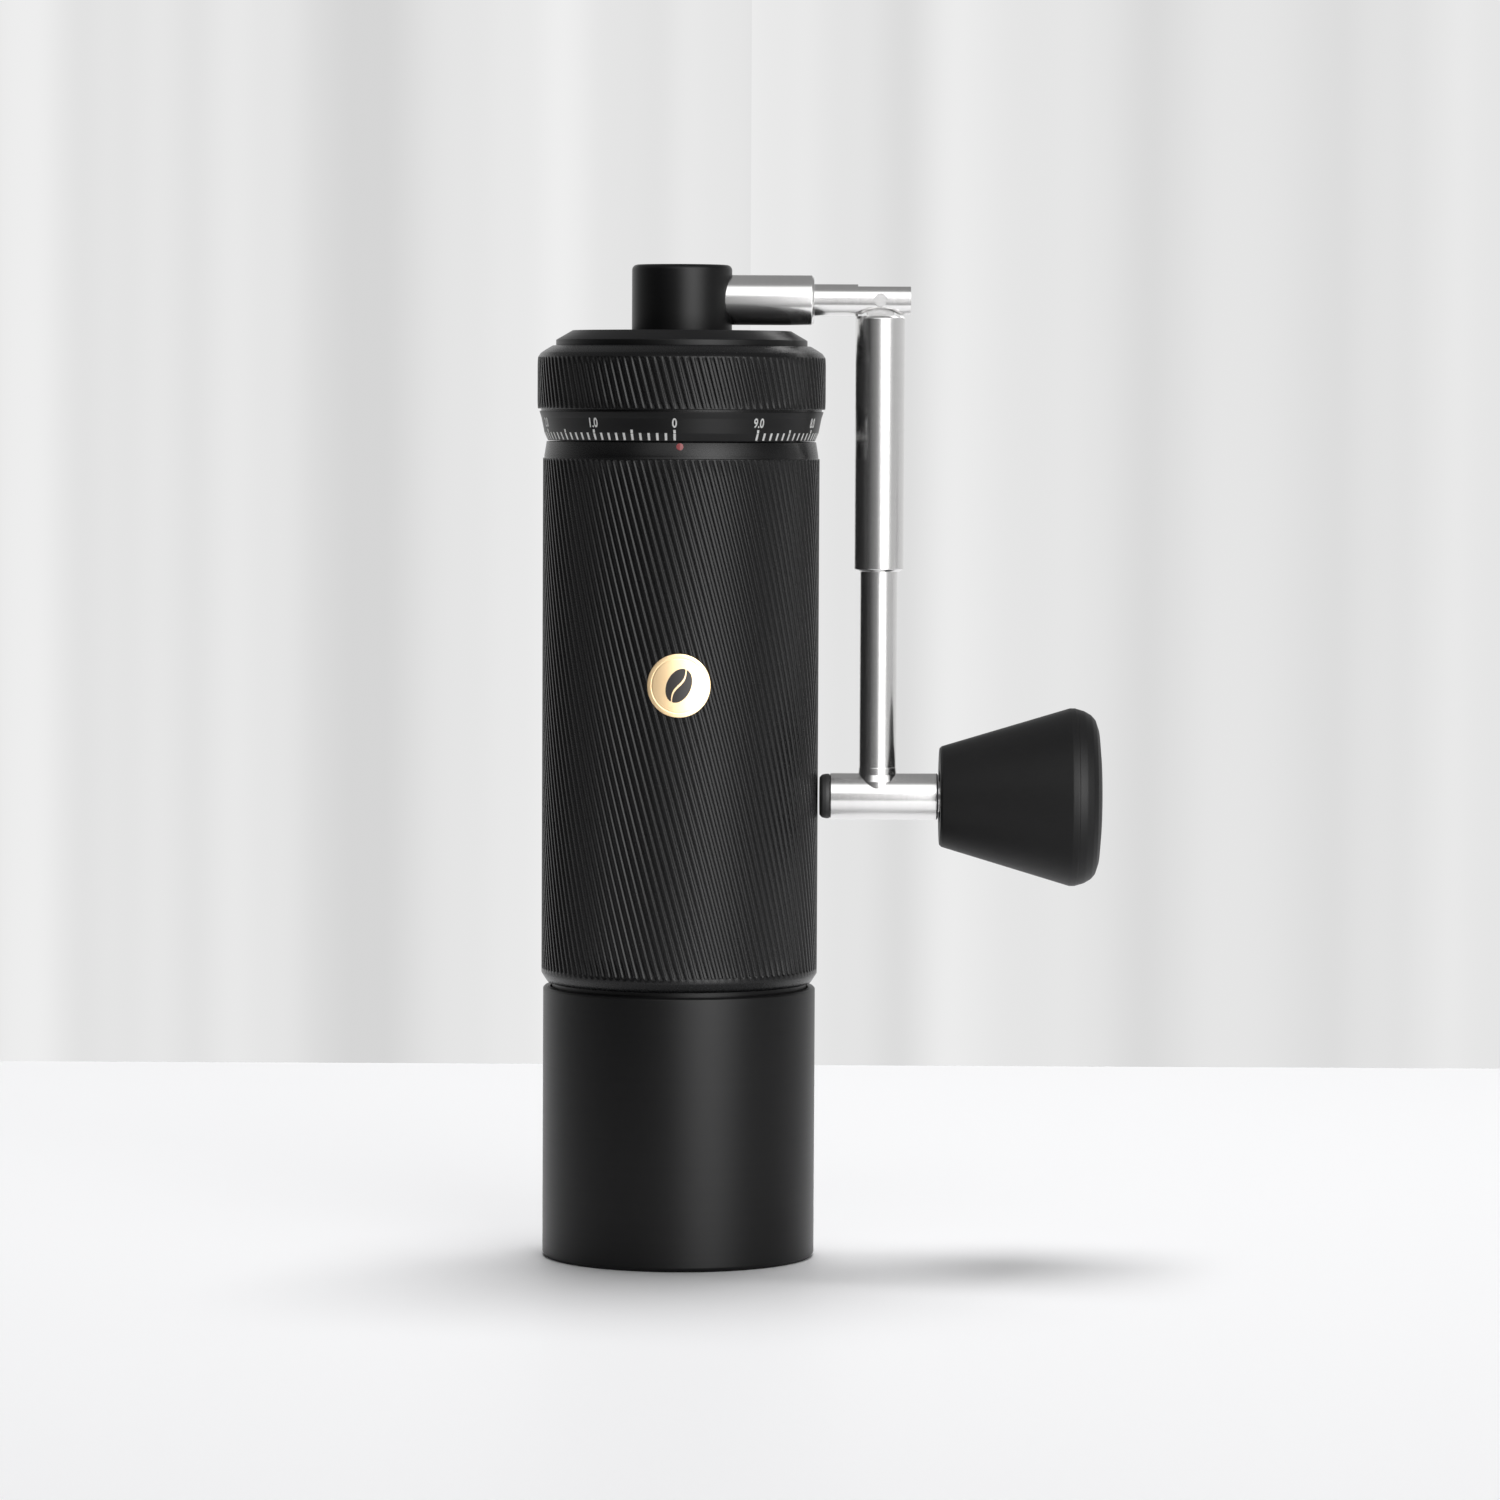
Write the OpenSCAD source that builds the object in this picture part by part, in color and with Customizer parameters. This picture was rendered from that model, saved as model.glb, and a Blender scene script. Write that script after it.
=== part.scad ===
// Hand crank coffee grinder with an outside grind dial, a folding crank and a magnet-held cup.
// Millimetres, +Z up. The origin is the centre of the cup's flat base.
// The crank is drawn folded down along +X, and the dial stands at 0, its finest setting.

/* [Body and cup] */
// Outside diameter of the knurled body; the cup is slightly slimmer
body_d = 52; // [50:0.5:64]
// Length of the knurled body tube
body_len = 101.7; // [84:0.2:122]
// Height of the grounds cup
cup_h = 51; // [42:0.5:62]
// Wall of the body tube beside the beans
body_wall = 3.1; // [2.6:0.1:4]
// Thickness of the cup's floor
cup_floor = 2.5; // [1.5:0.1:4]
// Diameter of the round badge on the front
badge_d = 11.9; // [8:0.1:14]
// Height of the badge centre above the base
badge_z = 108.85; // [90:0.05:125]

/* [Grind dial] */
// How far the dial's knurled grip stands out past the body
dial_proud = 1.06; // [0.6:0.01:1.6]
// Height of the sloping band that carries the numbers
band_h = 5.5; // [4.5:0.1:8]
// Height of the knurled grip above it
grip_h = 12.25; // [9:0.05:15]
// Click stops in one full turn
clicks = 100; // [60:5:120]
// Lead of the thread that lowers the cone burr as the dial turns
thread_lead = 0.8; // [0.5:0.05:1]

/* [Lid and hub] */
// Height of the lid above the dial
lid_rise = 2.85; // [2:0.05:5]
// Diameter of the hub that the crank grows from
hub_d = 18.8; // [16:0.1:24]
// Height of the hub above the lid
hub_rise = 12.35; // [11:0.05:16]
// Across the flats of the hexagon that drives the shaft
hex_af = 6; // [5:0.1:7]

/* [Folding crank] */
// Distance from the body's surface to the fold pin
fold_reach = 11.2; // [10.4:0.1:18]
// Distance along the arm from the fold pin to the knob's axis
arm_len = 93.2; // [75:0.2:110]
// Diameter of the socket and of the sliding lock sleeve
sleeve_d = 9.4; // [9:0.1:11]
// Length of the sliding lock sleeve
sleeve_len = 47.9; // [36:0.1:56]
// Diameter of the thin arm rod inside the sleeve
arm_d = 7.1; // [6.6:0.1:7.6]
// Diameter of the fork rod that leaves the socket
fork_d = 6.1; // [5.6:0.1:6.6]
// Diameter of the cross tube at the knob end of the arm
tee_d = 8.8; // [8:0.1:11]

/* [Knob] */
// Largest diameter of the knob
knob_d = 33.5; // [28:0.1:40]
// Diameter of the knob's narrow end
knob_neck_d = 19; // [15:0.1:24]
// Length of the knob along its axis
knob_len = 30.5; // [25:0.1:38]

/* [Burrs and shaft] */
// Outside diameter of the ring burr
burr_d = 42; // [38:0.5:43]
// Height of the ring burr
burr_h = 13; // [10:0.5:15]
// Diameter of the drive shaft, which is also the bearing bore
shaft_d = 8; // [7:0.5:8]
// Outside diameter of each bearing
bearing_d = 16; // [14:0.5:18]

/* [Clearances] */
// Air between pieces that move past each other
gap = 0.3; // [0.2:0.05:0.5]
// Air under the dial, where it turns over the body's top face
dial_gap = 0.15; // [0.1:0.05:0.4]
// Radial clearance of turning and sliding fits
fit = 0.05; // [0.02:0.01:0.1]

/* [Hidden] */
$fn = 64;
body_r = body_d / 2;
body_z0 = cup_h + 0.9;
body_z1 = body_z0 + body_len;
bean_r = body_r - body_wall;
seat_r = bean_r + 0.6;
insert_r = seat_r - fit;
spigot_r = body_r - 2;
cup_r = body_r - 0.35;
cup_in_r = body_r - 3;
spigot_z0 = cup_h - 5.8;
cup_step_z = spigot_z0 - 1.2;
magnet_r = 1.5;
magnet_circle_r = spigot_r - 1.8;
// Index band round the top of the body: a small step in, a short land, then a slope up to the rim
index_h = 3.2;
index_land = 0.7;
index_step = 0.25;
index_top = 0.7;
index_slope = (index_top - index_step) / (index_h - index_land);
dot_r = 0.65;
// Burrs, clamp, liner and spider, stacked upwards from the housing's ledge
burr_r = burr_d / 2;
burr_z0 = body_z0 + 2.1;
burr_z1 = burr_z0 + burr_h;
burr_open_r = burr_r - 3;
burr_throat_r = burr_r - 6.1;
clamp_z1 = burr_z1 + 2.4;
spider_z0 = burr_z1 + 18;
spider_z1 = spider_z0 + 4;
// Neck, dial and the carriage that carries the shaft up and down
neck_r = body_r - 4.4;
neck_in_r = body_r - 6.2;
dial_z0 = body_z1 + dial_gap;
neck_z0 = dial_z0 - 12.8;
neck_flange_z = dial_z0 - 0.8;
band_z1 = dial_z0 + band_h;
dial_z1 = band_z1 + grip_h;
dial_r = body_r + dial_proud;
web_z0 = dial_z0 + 2.7;
web_z1 = dial_z1 - 5.7;
neck_z1 = dial_z1 - 2.7;
cap_r = body_r - 2.1;
drive_r = body_r - 2.6;
thread_r = drive_r - 0.5;
lug_r = thread_r - gap;
click_r = neck_r + 0.97;
burr_travel = 0.9 * thread_lead;
lug_z0 = dial_z0 + 4.7;
lug_h = 4;
lug_w = 5;
// Shaft
shaft_r = shaft_d / 2;
shaft_z0 = spigot_z0 + 2.8;
bearing_r = bearing_d / 2;
bearing_h = 5;
upper_brg_z = lug_z0 - 0.5;
lower_brg_z = spider_z0;
hex_r = hex_af / 2 / cos(30);
seat_z = spider_z1 + 19.3;
// Lid and hub
lid_z0 = dial_z1 - 0.3;
lid_z1 = dial_z1 + lid_rise;
lid_r = cap_r - gap;
hub_r = hub_d / 2;
hub_z0 = lid_z1 - 1.5;
hub_z1 = lid_z1 + hub_rise;
well_z = hub_z0 - burr_travel - gap - fit;
plug_z0 = lid_z0 - 2;
plug_r = neck_in_r - 0.4;
core_r = 5.95;
core_z0 = plug_z0 - 1.7;
hex_z0 = core_z0 - 1.5;
hex_z1 = hub_z1 - 4.2;
// Crank
sleeve_r = sleeve_d / 2;
arm_z = hub_z1 - 6.5;
fold_x = body_r + fold_reach;
socket_x1 = fold_x - 12.4;
fork_x0 = fold_x - 4.2;
fork_x1 = fold_x + 5.7;
fork_r = fork_d / 2;
fork_flat = 2.6;
slot_w = 3;
tongue_w = 2.4;
tongue_r = 2.6;
shoulder = 6.6;
pin_r = 1.2;
arm_r = arm_d / 2;
sleeve_z1 = arm_z - 2.9;
tee_r = tee_d / 2;
knob_z = arm_z - arm_len;
bumper_x0 = body_r + gap;
tee_x0 = bumper_x0 + 1.8;
tee_x1 = fold_x + 11.4;
// Knob
knob_x0 = tee_x1 + gap;
knob_x1 = knob_x0 + knob_len;
knob_r = knob_d / 2;
knob_neck_r = knob_neck_d / 2;
cap_x = knob_x1 - 4.7;
spindle_r = 3;
stud_r = 2;
bush_r = 5;
// Colours
black = [0.05, 0.05, 0.055];
steel = [0.72, 0.72, 0.72];
hard = [0.45, 0.46, 0.48];
gold = [0.82, 0.66, 0.36];
grey = [0.25, 0.25, 0.26];
red = [0.7, 0.06, 0.05];

// A plain ring between two radii and two heights
module ring(r_out, r_in, z0, z1) {
    translate([0, 0, z0])
        difference() {
            cylinder(r = r_out, h = z1 - z0);
            translate([0, 0, -1]) cylinder(r = r_in, h = z1 - z0 + 2);
        }
}

// A solid turned about the X axis from [x, r] points
module turned_x(points) {
    rotate([0, 90, 0]) rotate_extrude() polygon([for (p = points) [p[1], p[0]]]);
}

// A round bar along X at height z
module bar_x(r, x0, x1, z) {
    translate([x0, 0, z]) rotate([0, 90, 0]) cylinder(r = r, h = x1 - x0);
}

// A closed coil spring of round wire, standing on z0
module coil(mean_r, wire_r, turns, z0, z1) {
    around = 6;
    steps = turns * 20;
    rise = z1 - z0 - 2 * wire_r;
    points = [for (i = [0:steps]) let (a = 360 * turns * i / steps, zc = z0 + wire_r + rise * i / steps)
        for (j = [0:around - 1]) let (b = 360 * j / around, r = mean_r + wire_r * cos(b))
            [r * cos(a), r * sin(a), zc + wire_r * sin(b)]];
    sides = [for (i = [0:steps - 1], j = [0:around - 1]) let (k = (j + 1) % around)
        [i * around + j, (i + 1) * around + j, (i + 1) * around + k, i * around + k]];
    first = [for (j = [0:around - 1]) j];
    last = [for (j = [around - 1:-1:0]) steps * around + j];
    polyhedron(points, concat([first], sides, [last]));
}

// A snap ring with an open end, for a groove in the shaft
module snap_ring(r_out, r_in, z0, z1) {
    difference() {
        ring(r_out, r_in, z0, z1);
        translate([0, -1, z0 - 1]) cube([r_out + 1, 2, z1 - z0 + 2]);
    }
}

// A shielded ball bearing: two races, a shield and the balls between them
module bearing(z0) {
    ball_r = 1.15;
    mid_r = (bearing_r + shaft_r) / 2;
    ring(bearing_r, mid_r + 0.75, z0, z0 + bearing_h);
    ring(mid_r - 0.75, shaft_r + fit, z0, z0 + bearing_h);
    ring(mid_r + 0.75, mid_r - 0.75, z0 + 0.3, z0 + 0.6);
    ring(mid_r + 0.75, mid_r - 0.75, z0 + bearing_h - 0.6, z0 + bearing_h - 0.3);
    for (a = [0:45:315]) rotate([0, 0, a]) translate([mid_r, 0, z0 + bearing_h / 2]) sphere(r = ball_r);
}

// Grounds cup, lipped inside so that it pulls up over the burr housing
module cup() {
    chamfer = 0.8;
    lip_r = spigot_r + gap;
    color(black)
        rotate_extrude()
            polygon([[0, 0], [cup_r - chamfer, 0], [cup_r, chamfer], [cup_r, cup_h - 0.4],
                [cup_r - 0.4, cup_h], [lip_r, cup_h], [lip_r, cup_step_z], [cup_in_r, cup_step_z],
                [cup_in_r, cup_floor + 2], [cup_in_r - 2, cup_floor], [0, cup_floor]]);
}

// Steel ring in the cup that the magnets pull on
module cup_steel_ring() {
    color(hard) ring(spigot_r + gap - fit, cup_in_r + fit, cup_step_z, cup_step_z + 0.8);
}

// Body tube: seats at both ends, a sloped index band at the top and a pocket for the badge
module body_shell() {
    bevel = 1.7;
    color(black)
        difference() {
            rotate_extrude()
                polygon([[seat_r, body_z0], [body_r - 1.1, body_z0], [body_r, body_z0 + bevel],
                    [body_r, body_z1 - index_h], [body_r - index_step, body_z1 - index_h + 0.01],
                    [body_r - index_step, body_z1 - index_h + index_land],
                    [body_r - index_top, body_z1],
                    [seat_r, body_z1], [seat_r, neck_z0], [bean_r, neck_z0], [bean_r, spider_z1],
                    [seat_r, spider_z1]]);
            badge_disc(badge_d / 2 + fit, body_r - 0.5, body_r + 1);
            dot_plug(dot_r + fit, 0.45);
        }
}

// Disc that follows the body's curve, used for the badge and for its pocket
module badge_disc(r, r_in, r_out) {
    intersection() {
        ring(r_out, r_in, badge_z - r - 1, badge_z + r + 1);
        translate([0, 0, badge_z]) rotate([90, 0, 0]) cylinder(r = r, h = body_r + 2);
    }
}

// Short plug square to the index band
module dot_plug(r, depth) {
    translate([0, -body_r + 0.55, body_z1 - dot_r - 0.15]) rotate([90, 0, 0]) translate([0, 0, -depth])
        cylinder(r = r, h = depth + 0.6);
}

// Housing pressed up into the tube: spigot for the cup, ledge and seat for the ring burr
module burr_housing() {
    color(black)
        difference() {
            rotate_extrude()
                polygon([[burr_open_r + 0.4, spigot_z0], [spigot_r, spigot_z0], [spigot_r, body_z0],
                    [insert_r, body_z0], [insert_r, burr_z1], [burr_r + fit, burr_z1],
                    [burr_r + fit, burr_z0], [burr_open_r + 0.4, burr_z0]]);
            for (a = [0:60:300]) rotate([0, 0, a]) translate([magnet_circle_r, 0, spigot_z0 - 1])
                cylinder(r = magnet_r + fit, h = 3.5);
            for (a = [30:120:270]) rotate([0, 0, a]) translate([(insert_r + burr_r) / 2, 0, burr_z1 - 5])
                cylinder(r = 0.75, h = 6);
            ring(spigot_r + 1, spigot_r - 0.9, body_z0 - 3.1, body_z0 - 2.1);
        }
}

// Round seal in the spigot's groove
module spigot_seal() {
    color(black) translate([0, 0, body_z0 - 2.6])
        rotate_extrude() translate([spigot_r - 0.45, 0]) circle(r = 0.44, $fn = 24);
}

// Magnets round the foot of the spigot
module cup_magnets() {
    color(hard)
        for (a = [0:60:300]) rotate([0, 0, a]) translate([magnet_circle_r, 0, spigot_z0])
            cylinder(r = magnet_r, h = 2.45);
}

// Fixed ring burr, toothed inside and wider at the bottom
module ring_burr() {
    fine = 36;
    coarse = 12;
    lean = 16;
    color(hard)
        difference() {
            rotate_extrude()
                polygon([[burr_open_r, burr_z0], [burr_r, burr_z0], [burr_r, burr_z1],
                    [burr_throat_r + 1.2, burr_z1], [burr_throat_r, burr_z1 - 1.2]]);
            for (i = [0:fine - 1]) rotate([0, 0, i * 360 / fine])
                translate([burr_open_r - 0.5, 0, burr_z0 - 1]) rotate([lean, -13, 0])
                    cube([1.2, 0.6, burr_h * 0.55]);
            for (i = [0:coarse - 1]) rotate([0, 0, i * 360 / coarse])
                translate([burr_throat_r - 1, 0, burr_z1 - 6.5]) rotate([lean, 0, 0])
                    cube([2.6, 1.5, 9]);
        }
}

// Clamp ring that holds the ring burr down and funnels the beans into it
module burr_clamp() {
    color(steel)
        difference() {
            rotate_extrude()
                polygon([[burr_r - 3, burr_z1], [insert_r, burr_z1], [insert_r, clamp_z1],
                    [burr_r - 1.2, clamp_z1]]);
            for (a = [30:120:270]) rotate([0, 0, a]) translate([(insert_r + burr_r) / 2, 0, 0]) {
                translate([0, 0, burr_z1 - 1]) cylinder(r = 0.85, h = 6);
                translate([0, 0, clamp_z1 - 1]) cylinder(r1 = 0.85, r2 = 1.35, h = 1.01);
            }
        }
}

// Countersunk screws of the clamp ring
module burr_screws() {
    color(steel)
        for (a = [30:120:270]) rotate([0, 0, a]) translate([(insert_r + burr_r) / 2, 0, burr_z1 - 4.5]) {
            cylinder(r = 0.7, h = clamp_z1 - burr_z1 + 4);
            translate([0, 0, clamp_z1 - burr_z1 + 3.6]) cylinder(r1 = 0.8, r2 = 1.2, h = 0.8);
        }
}

// Liner that keeps the spider up against the tube's shoulder
module liner_tube() {
    color(steel) ring(insert_r, insert_r - 1.3, clamp_z1, spider_z0);
}

// Three-armed spider that centres the shaft above the burrs
module lower_spider() {
    color(black)
        difference() {
            union() {
                ring(insert_r, insert_r - 1.8, spider_z0, spider_z1);
                cylinder_at(bearing_r + 2, spider_z0, lower_brg_z + bearing_h);
                for (a = [60:120:300]) rotate([0, 0, a]) translate([bearing_r + 1, -1.8, spider_z0])
                    cube([insert_r - bearing_r - 2, 3.6, spider_z1 - spider_z0]);
            }
            cylinder_at(bearing_r + fit, spider_z0 + 1, lower_brg_z + bearing_h + 1);
            cylinder_at(bearing_r - 1.5, spider_z0 - 1, spider_z0 + 2);
        }
}

// A plain cylinder on the centre line between two heights
module cylinder_at(r, z0, z1) {
    translate([0, 0, z0]) cylinder(r = r, h = z1 - z0);
}

// Bearing held in the lower spider
module lower_bearing() {
    color(steel) bearing(lower_brg_z + 1);
}

// Spring that pushes the shaft up, so that the cone closes on the ring burr
module preload_spring() {
    color(steel) coil(shaft_r + 1.9, 0.5, 7, lower_brg_z + bearing_h + 1, seat_z - fit);
}

// Neck the dial turns on, pressed into the top of the tube and slotted for the carriage's lugs
module neck() {
    color(black)
        difference() {
            union() {
                ring(insert_r, neck_in_r, neck_z0, neck_flange_z);
                ring(neck_r, neck_in_r, neck_flange_z - 1, neck_z1);
            }
            for (a = [60:120:300]) rotate([0, 0, a])
                translate([neck_in_r - 1, -lug_w / 2 - gap, lug_z0 - burr_travel - gap])
                    cube([4, lug_w + 2 * gap, lug_h + burr_travel + 2 * gap]);
            rotate([0, 0, 180]) translate([click_r, 0, neck_flange_z - 6.5]) cylinder(r = 0.75, h = 8);
        }
}

// Ring screwed on the neck's top edge; it keeps the dial down
module dial_retainer() {
    color(black)
        difference() {
            ring(lid_r, neck_in_r, neck_z1, lid_z0 - gap);
            for (a = [0:90:270]) rotate([0, 0, a]) translate([neck_in_r - 1, -1, neck_z1 + 0.9])
                cube([2.2, 2, 3]);
        }
}

// Small spring under the click ball
module click_spring() {
    color(steel) rotate([0, 0, 180]) translate([click_r, 0, 0])
        coil(0.5, 0.12, 6, neck_flange_z - 6.5, neck_flange_z - 1.2);
}

// Ball that clicks in the dial's ring of holes
module click_ball() {
    color(steel) rotate([0, 0, 180]) translate([click_r, 0, dial_z0 - gap - 0.7]) sphere(r = 0.7);
}

// Red index dot at the front of the index band
module index_dot() {
    proud = 0.04;
    face_r = body_r - index_top + proud;
    color(red)
        intersection() {
            dot_plug(dot_r, 0.4);
            translate([0, 0, body_z1 - 3])
                cylinder(r1 = face_r + 3 * index_slope, r2 = face_r - 2 * index_slope, h = 5);
        }
}

// Brass badge set into the front of the body, with one plain ring turned in its face
module badge() {
    ring_r = badge_d / 2 - 1;
    color(gold)
        difference() {
            badge_disc(badge_d / 2, body_r - 0.5, body_r + 0.15);
            translate([0, 0, badge_z]) rotate([90, 0, 0])
                ring(ring_r + 0.15, ring_r - 0.15, body_r - 0.1, body_r + 1);
        }
}

// Lower part of the dial: the sloping band that carries the numbers
module scale_band() {
    color(black)
        difference() {
            rotate_extrude()
                polygon([[neck_r + fit, dial_z0], [body_r - 0.9, dial_z0], [body_r - 0.25, band_z1 - 4],
                    [body_r, band_z1 - 2.8], [body_r + 0.3, band_z1 - 1.3], [dial_r - 0.36, band_z1],
                    [drive_r + fit, band_z1], [drive_r + fit, web_z0], [neck_r + fit, web_z0]]);
            ring(click_r + 0.75, click_r - 0.75, dial_z0 - 1, dial_z0 + 0.8);
        }
}

// Upper part of the dial: the knurled grip with its turned top edge
module grip_ring() {
    groove = 0.4;
    color(black)
        rotate_extrude()
            polygon([[drive_r + fit, band_z1], [dial_r - 0.7, band_z1], [dial_r - 0.7, band_z1 + groove],
                [dial_r - 0.1, band_z1 + groove], [dial_r, band_z1 + groove + 2.2],
                [dial_r, dial_z1 - 4], [dial_r - 0.1, dial_z1 - 2], [dial_r - 0.66, dial_z1 - 1.35],
                [dial_r - 1.7, dial_z1 - 0.6], [dial_r - 2.86, dial_z1], [cap_r, dial_z1],
                [cap_r, neck_z1 - gap], [neck_r + fit, neck_z1 - gap], [neck_r + fit, web_z1],
                [drive_r + fit, web_z1]]);
}

// Brass drive ring inside the dial; its thread is drawn as a plain bore
module drive_ring() {
    color(gold) ring(drive_r, thread_r, web_z0, web_z1);
}

// Click ring with one hole for each click stop
module click_ring() {
    color(hard)
        difference() {
            ring(click_r + 0.7, click_r - 0.7, dial_z0, dial_z0 + 0.75);
            for (i = [0:clicks - 1]) rotate([0, 0, i * 360 / clicks]) translate([click_r, 0, dial_z0 - 1])
                cylinder(r = 0.4, h = 3);
        }
}

// Carriage that the drive ring moves up and down, keyed in the neck's slots by its three lugs
module carriage() {
    hub_ring_r = bearing_r + 2;
    color(black)
        difference() {
            union() {
                cylinder_at(hub_ring_r, upper_brg_z - 1, upper_brg_z + bearing_h + 0.2);
                intersection() {
                    for (a = [60:120:300]) rotate([0, 0, a]) translate([hub_ring_r - 1, -lug_w / 2, lug_z0])
                        cube([thread_r, lug_w, lug_h]);
                    cylinder_at(lug_r, lug_z0 - 1, lug_z0 + lug_h + 1);
                }
            }
            cylinder_at(bearing_r + fit, upper_brg_z, upper_brg_z + bearing_h + 1);
            cylinder_at(bearing_r - 1.5, upper_brg_z - 2, upper_brg_z + 1);
        }
}

// Bearing held in the carriage
module upper_bearing() {
    color(steel) bearing(upper_brg_z);
}

// Drive shaft: threaded foot, snap ring grooves and a hexagon at the top
module shaft() {
    groove_r = shaft_r - 0.4;
    color(steel)
        difference() {
            union() {
                cylinder_at(shaft_r, shaft_z0, hex_z0);
                translate([0, 0, hex_z0 - 1]) cylinder(r = hex_r, h = hex_z1 - hex_z0 + 1, $fn = 6);
            }
            ring(shaft_r + 1, groove_r, upper_brg_z - 1.1 - fit, upper_brg_z - 0.3 + fit);
            ring(shaft_r + 1, groove_r, upper_brg_z + bearing_h + 0.3 - fit, upper_brg_z + bearing_h + 1.1 + fit);
            ring(shaft_r + 1, groove_r, seat_z + 1.2 - fit, seat_z + 2 + fit);
            ring(shaft_r + 1, shaft_r - 0.35, shaft_z0 + 0.8, shaft_z0 + 1.2);
        }
}

// Turning cone burr: steep crushing flutes above, fine teeth below
module cone_burr() {
    lift = gap + fit;
    foot_r = burr_open_r - lift;
    slope = (burr_open_r - burr_throat_r) / (burr_h - 1.2);
    color(hard)
        difference() {
            rotate_extrude()
                polygon([[shaft_r + fit, burr_z0], [foot_r, burr_z0], [foot_r - 4 * slope, burr_z0 + 4],
                    [foot_r - 6.4, burr_z0 + 9.5], [shaft_r + 3.2, burr_z0 + burr_h + 2.5],
                    [shaft_r + fit, burr_z0 + burr_h + 2.5]]);
            for (a = [0:60:300]) rotate([0, 0, a]) translate([shaft_r + 2.4, 0, burr_z0 + 3.5])
                rotate([-24, 8, 0]) cube([14, 3.4, 18]);
            for (a = [0:10:350]) rotate([0, 0, a]) translate([foot_r - 0.75, 0, burr_z0 - 1])
                rotate([-20, -16, 0]) cube([2, 0.7, 5]);
        }
}

// Washer under the cone burr
module burr_washer() {
    color(steel) ring(7, shaft_r + fit, burr_z0 - 1.2, burr_z0);
}

// Nut on the shaft's foot
module burr_nut() {
    color(steel)
        difference() {
            translate([0, 0, burr_z0 - 4.7]) cylinder(r = 6.5, h = 3.5, $fn = 6);
            cylinder_at(shaft_r + fit, burr_z0 - 6, burr_z0);
        }
}

// Snap rings above and below the upper bearing
module upper_circlip() {
    color(hard) snap_ring(shaft_r + 1.5, shaft_r - 0.4 + fit, upper_brg_z + bearing_h + 0.3,
        upper_brg_z + bearing_h + 1.1);
}

module lower_circlip() {
    color(hard) snap_ring(shaft_r + 1.5, shaft_r - 0.4 + fit, upper_brg_z - 1.1, upper_brg_z - 0.3);
}

// Seat on the shaft for the preload spring, with the snap ring above it
module spring_seat() {
    color(steel) {
        ring(shaft_r + 3.2, shaft_r + fit, seat_z, seat_z + 1.2);
        snap_ring(shaft_r + 1.5, shaft_r - 0.4 + fit, seat_z + 1.2, seat_z + 2);
    }
}

// Lid: plug below, bevelled disc above, and a well that the hub stands in
module lid() {
    color(black)
        rotate_extrude()
            polygon([[7.5, plug_z0], [plug_r, plug_z0], [plug_r, plug_z0 + 0.4],
                [plug_r - 1, plug_z0 + 0.4], [plug_r - 1, plug_z0 + 1.5], [plug_r, plug_z0 + 1.5],
                [plug_r, lid_z0], [lid_r, lid_z0], [lid_r, lid_z1 - 1.8], [lid_r - 3.1, lid_z1],
                [hub_r + 0.4, lid_z1], [hub_r + 0.4, well_z], [7.5, well_z]]);
}

// Round seal on the lid's plug
module lid_seal() {
    color(black) translate([0, 0, plug_z0 + 0.95])
        rotate_extrude() translate([plug_r - 0.46, 0]) circle(r = 0.53, $fn = 24);
}

// Low-friction bush in the lid
module lid_bush() {
    color(grey) ring(7.5 - fit, core_r + gap, plug_z0, well_z);
}

// Hub: a round block with a rounded top edge, bored for the core and the arm socket
module hub_shell() {
    soft = 1;
    color(black)
        difference() {
            rotate_extrude()
                union() {
                    translate([0, hub_z0]) square([hub_r, hub_z1 - hub_z0 - soft]);
                    translate([0, hub_z0 + 1]) square([hub_r - soft, hub_z1 - hub_z0 - 1]);
                    translate([hub_r - soft, hub_z1 - soft]) circle(r = soft);
                }
            cylinder_at(core_r + fit, hub_z0 - 1, hub_z1 - 2.9);
            bar_x(sleeve_r + fit, 2, hub_r + 2, arm_z);
        }
}

// Steel core with the hexagon socket that drives the shaft
module hub_core() {
    socket_r = (hex_af + 2 * fit + 0.1) / 2 / cos(30);
    color(steel)
        difference() {
            cylinder_at(core_r, core_z0, hub_z1 - 3);
            translate([0, 0, core_z0 - 1]) cylinder(r = socket_r, h = hex_z1 - core_z0 + 1.3, $fn = 6);
            ring(core_r + 1, core_r - 0.5, plug_z0 - 1.1, plug_z0 - 0.3);
        }
}

// Snap ring that keeps the lid on the hub's core
module core_clip() {
    color(hard) snap_ring(core_r + 1.6, core_r - 0.5 + fit, plug_z0 - 1.1 + fit, plug_z0 - 0.3 - fit);
}

// Short steel socket between the hub and the fork rod
module arm_socket() {
    edge = 0.5;
    color(steel)
        translate([0, 0, arm_z])
            turned_x([[core_r + 0.2, fork_r + fit], [core_r + 0.2, sleeve_r], [socket_x1 - edge, sleeve_r],
                [socket_x1, sleeve_r - edge], [socket_x1, fork_r + fit]]);
}

// Rod whose milled end forms the fork
module fork_rod() {
    color(steel)
        difference() {
            intersection() {
                bar_x(fork_r, core_r + 0.4, fork_x1, arm_z);
                union() {
                    translate([0, -5, arm_z - 5]) cube([fork_x0, 10, 10]);
                    translate([fork_x0 - 1, -5, arm_z - fork_flat]) cube([12, 10, 2 * fork_flat]);
                }
            }
            translate([fold_x - 3.2, -slot_w / 2, arm_z - 5]) cube([20, slot_w, 10]);
            translate([fold_x, 5, arm_z]) rotate([90, 0, 0]) cylinder(r = pin_r + fit, h = 10);
            translate([fold_x, 5, arm_z - fork_flat - 5.6]) rotate([90, 0, 0]) cylinder(r = 6.6, h = 10);
        }
}

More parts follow.
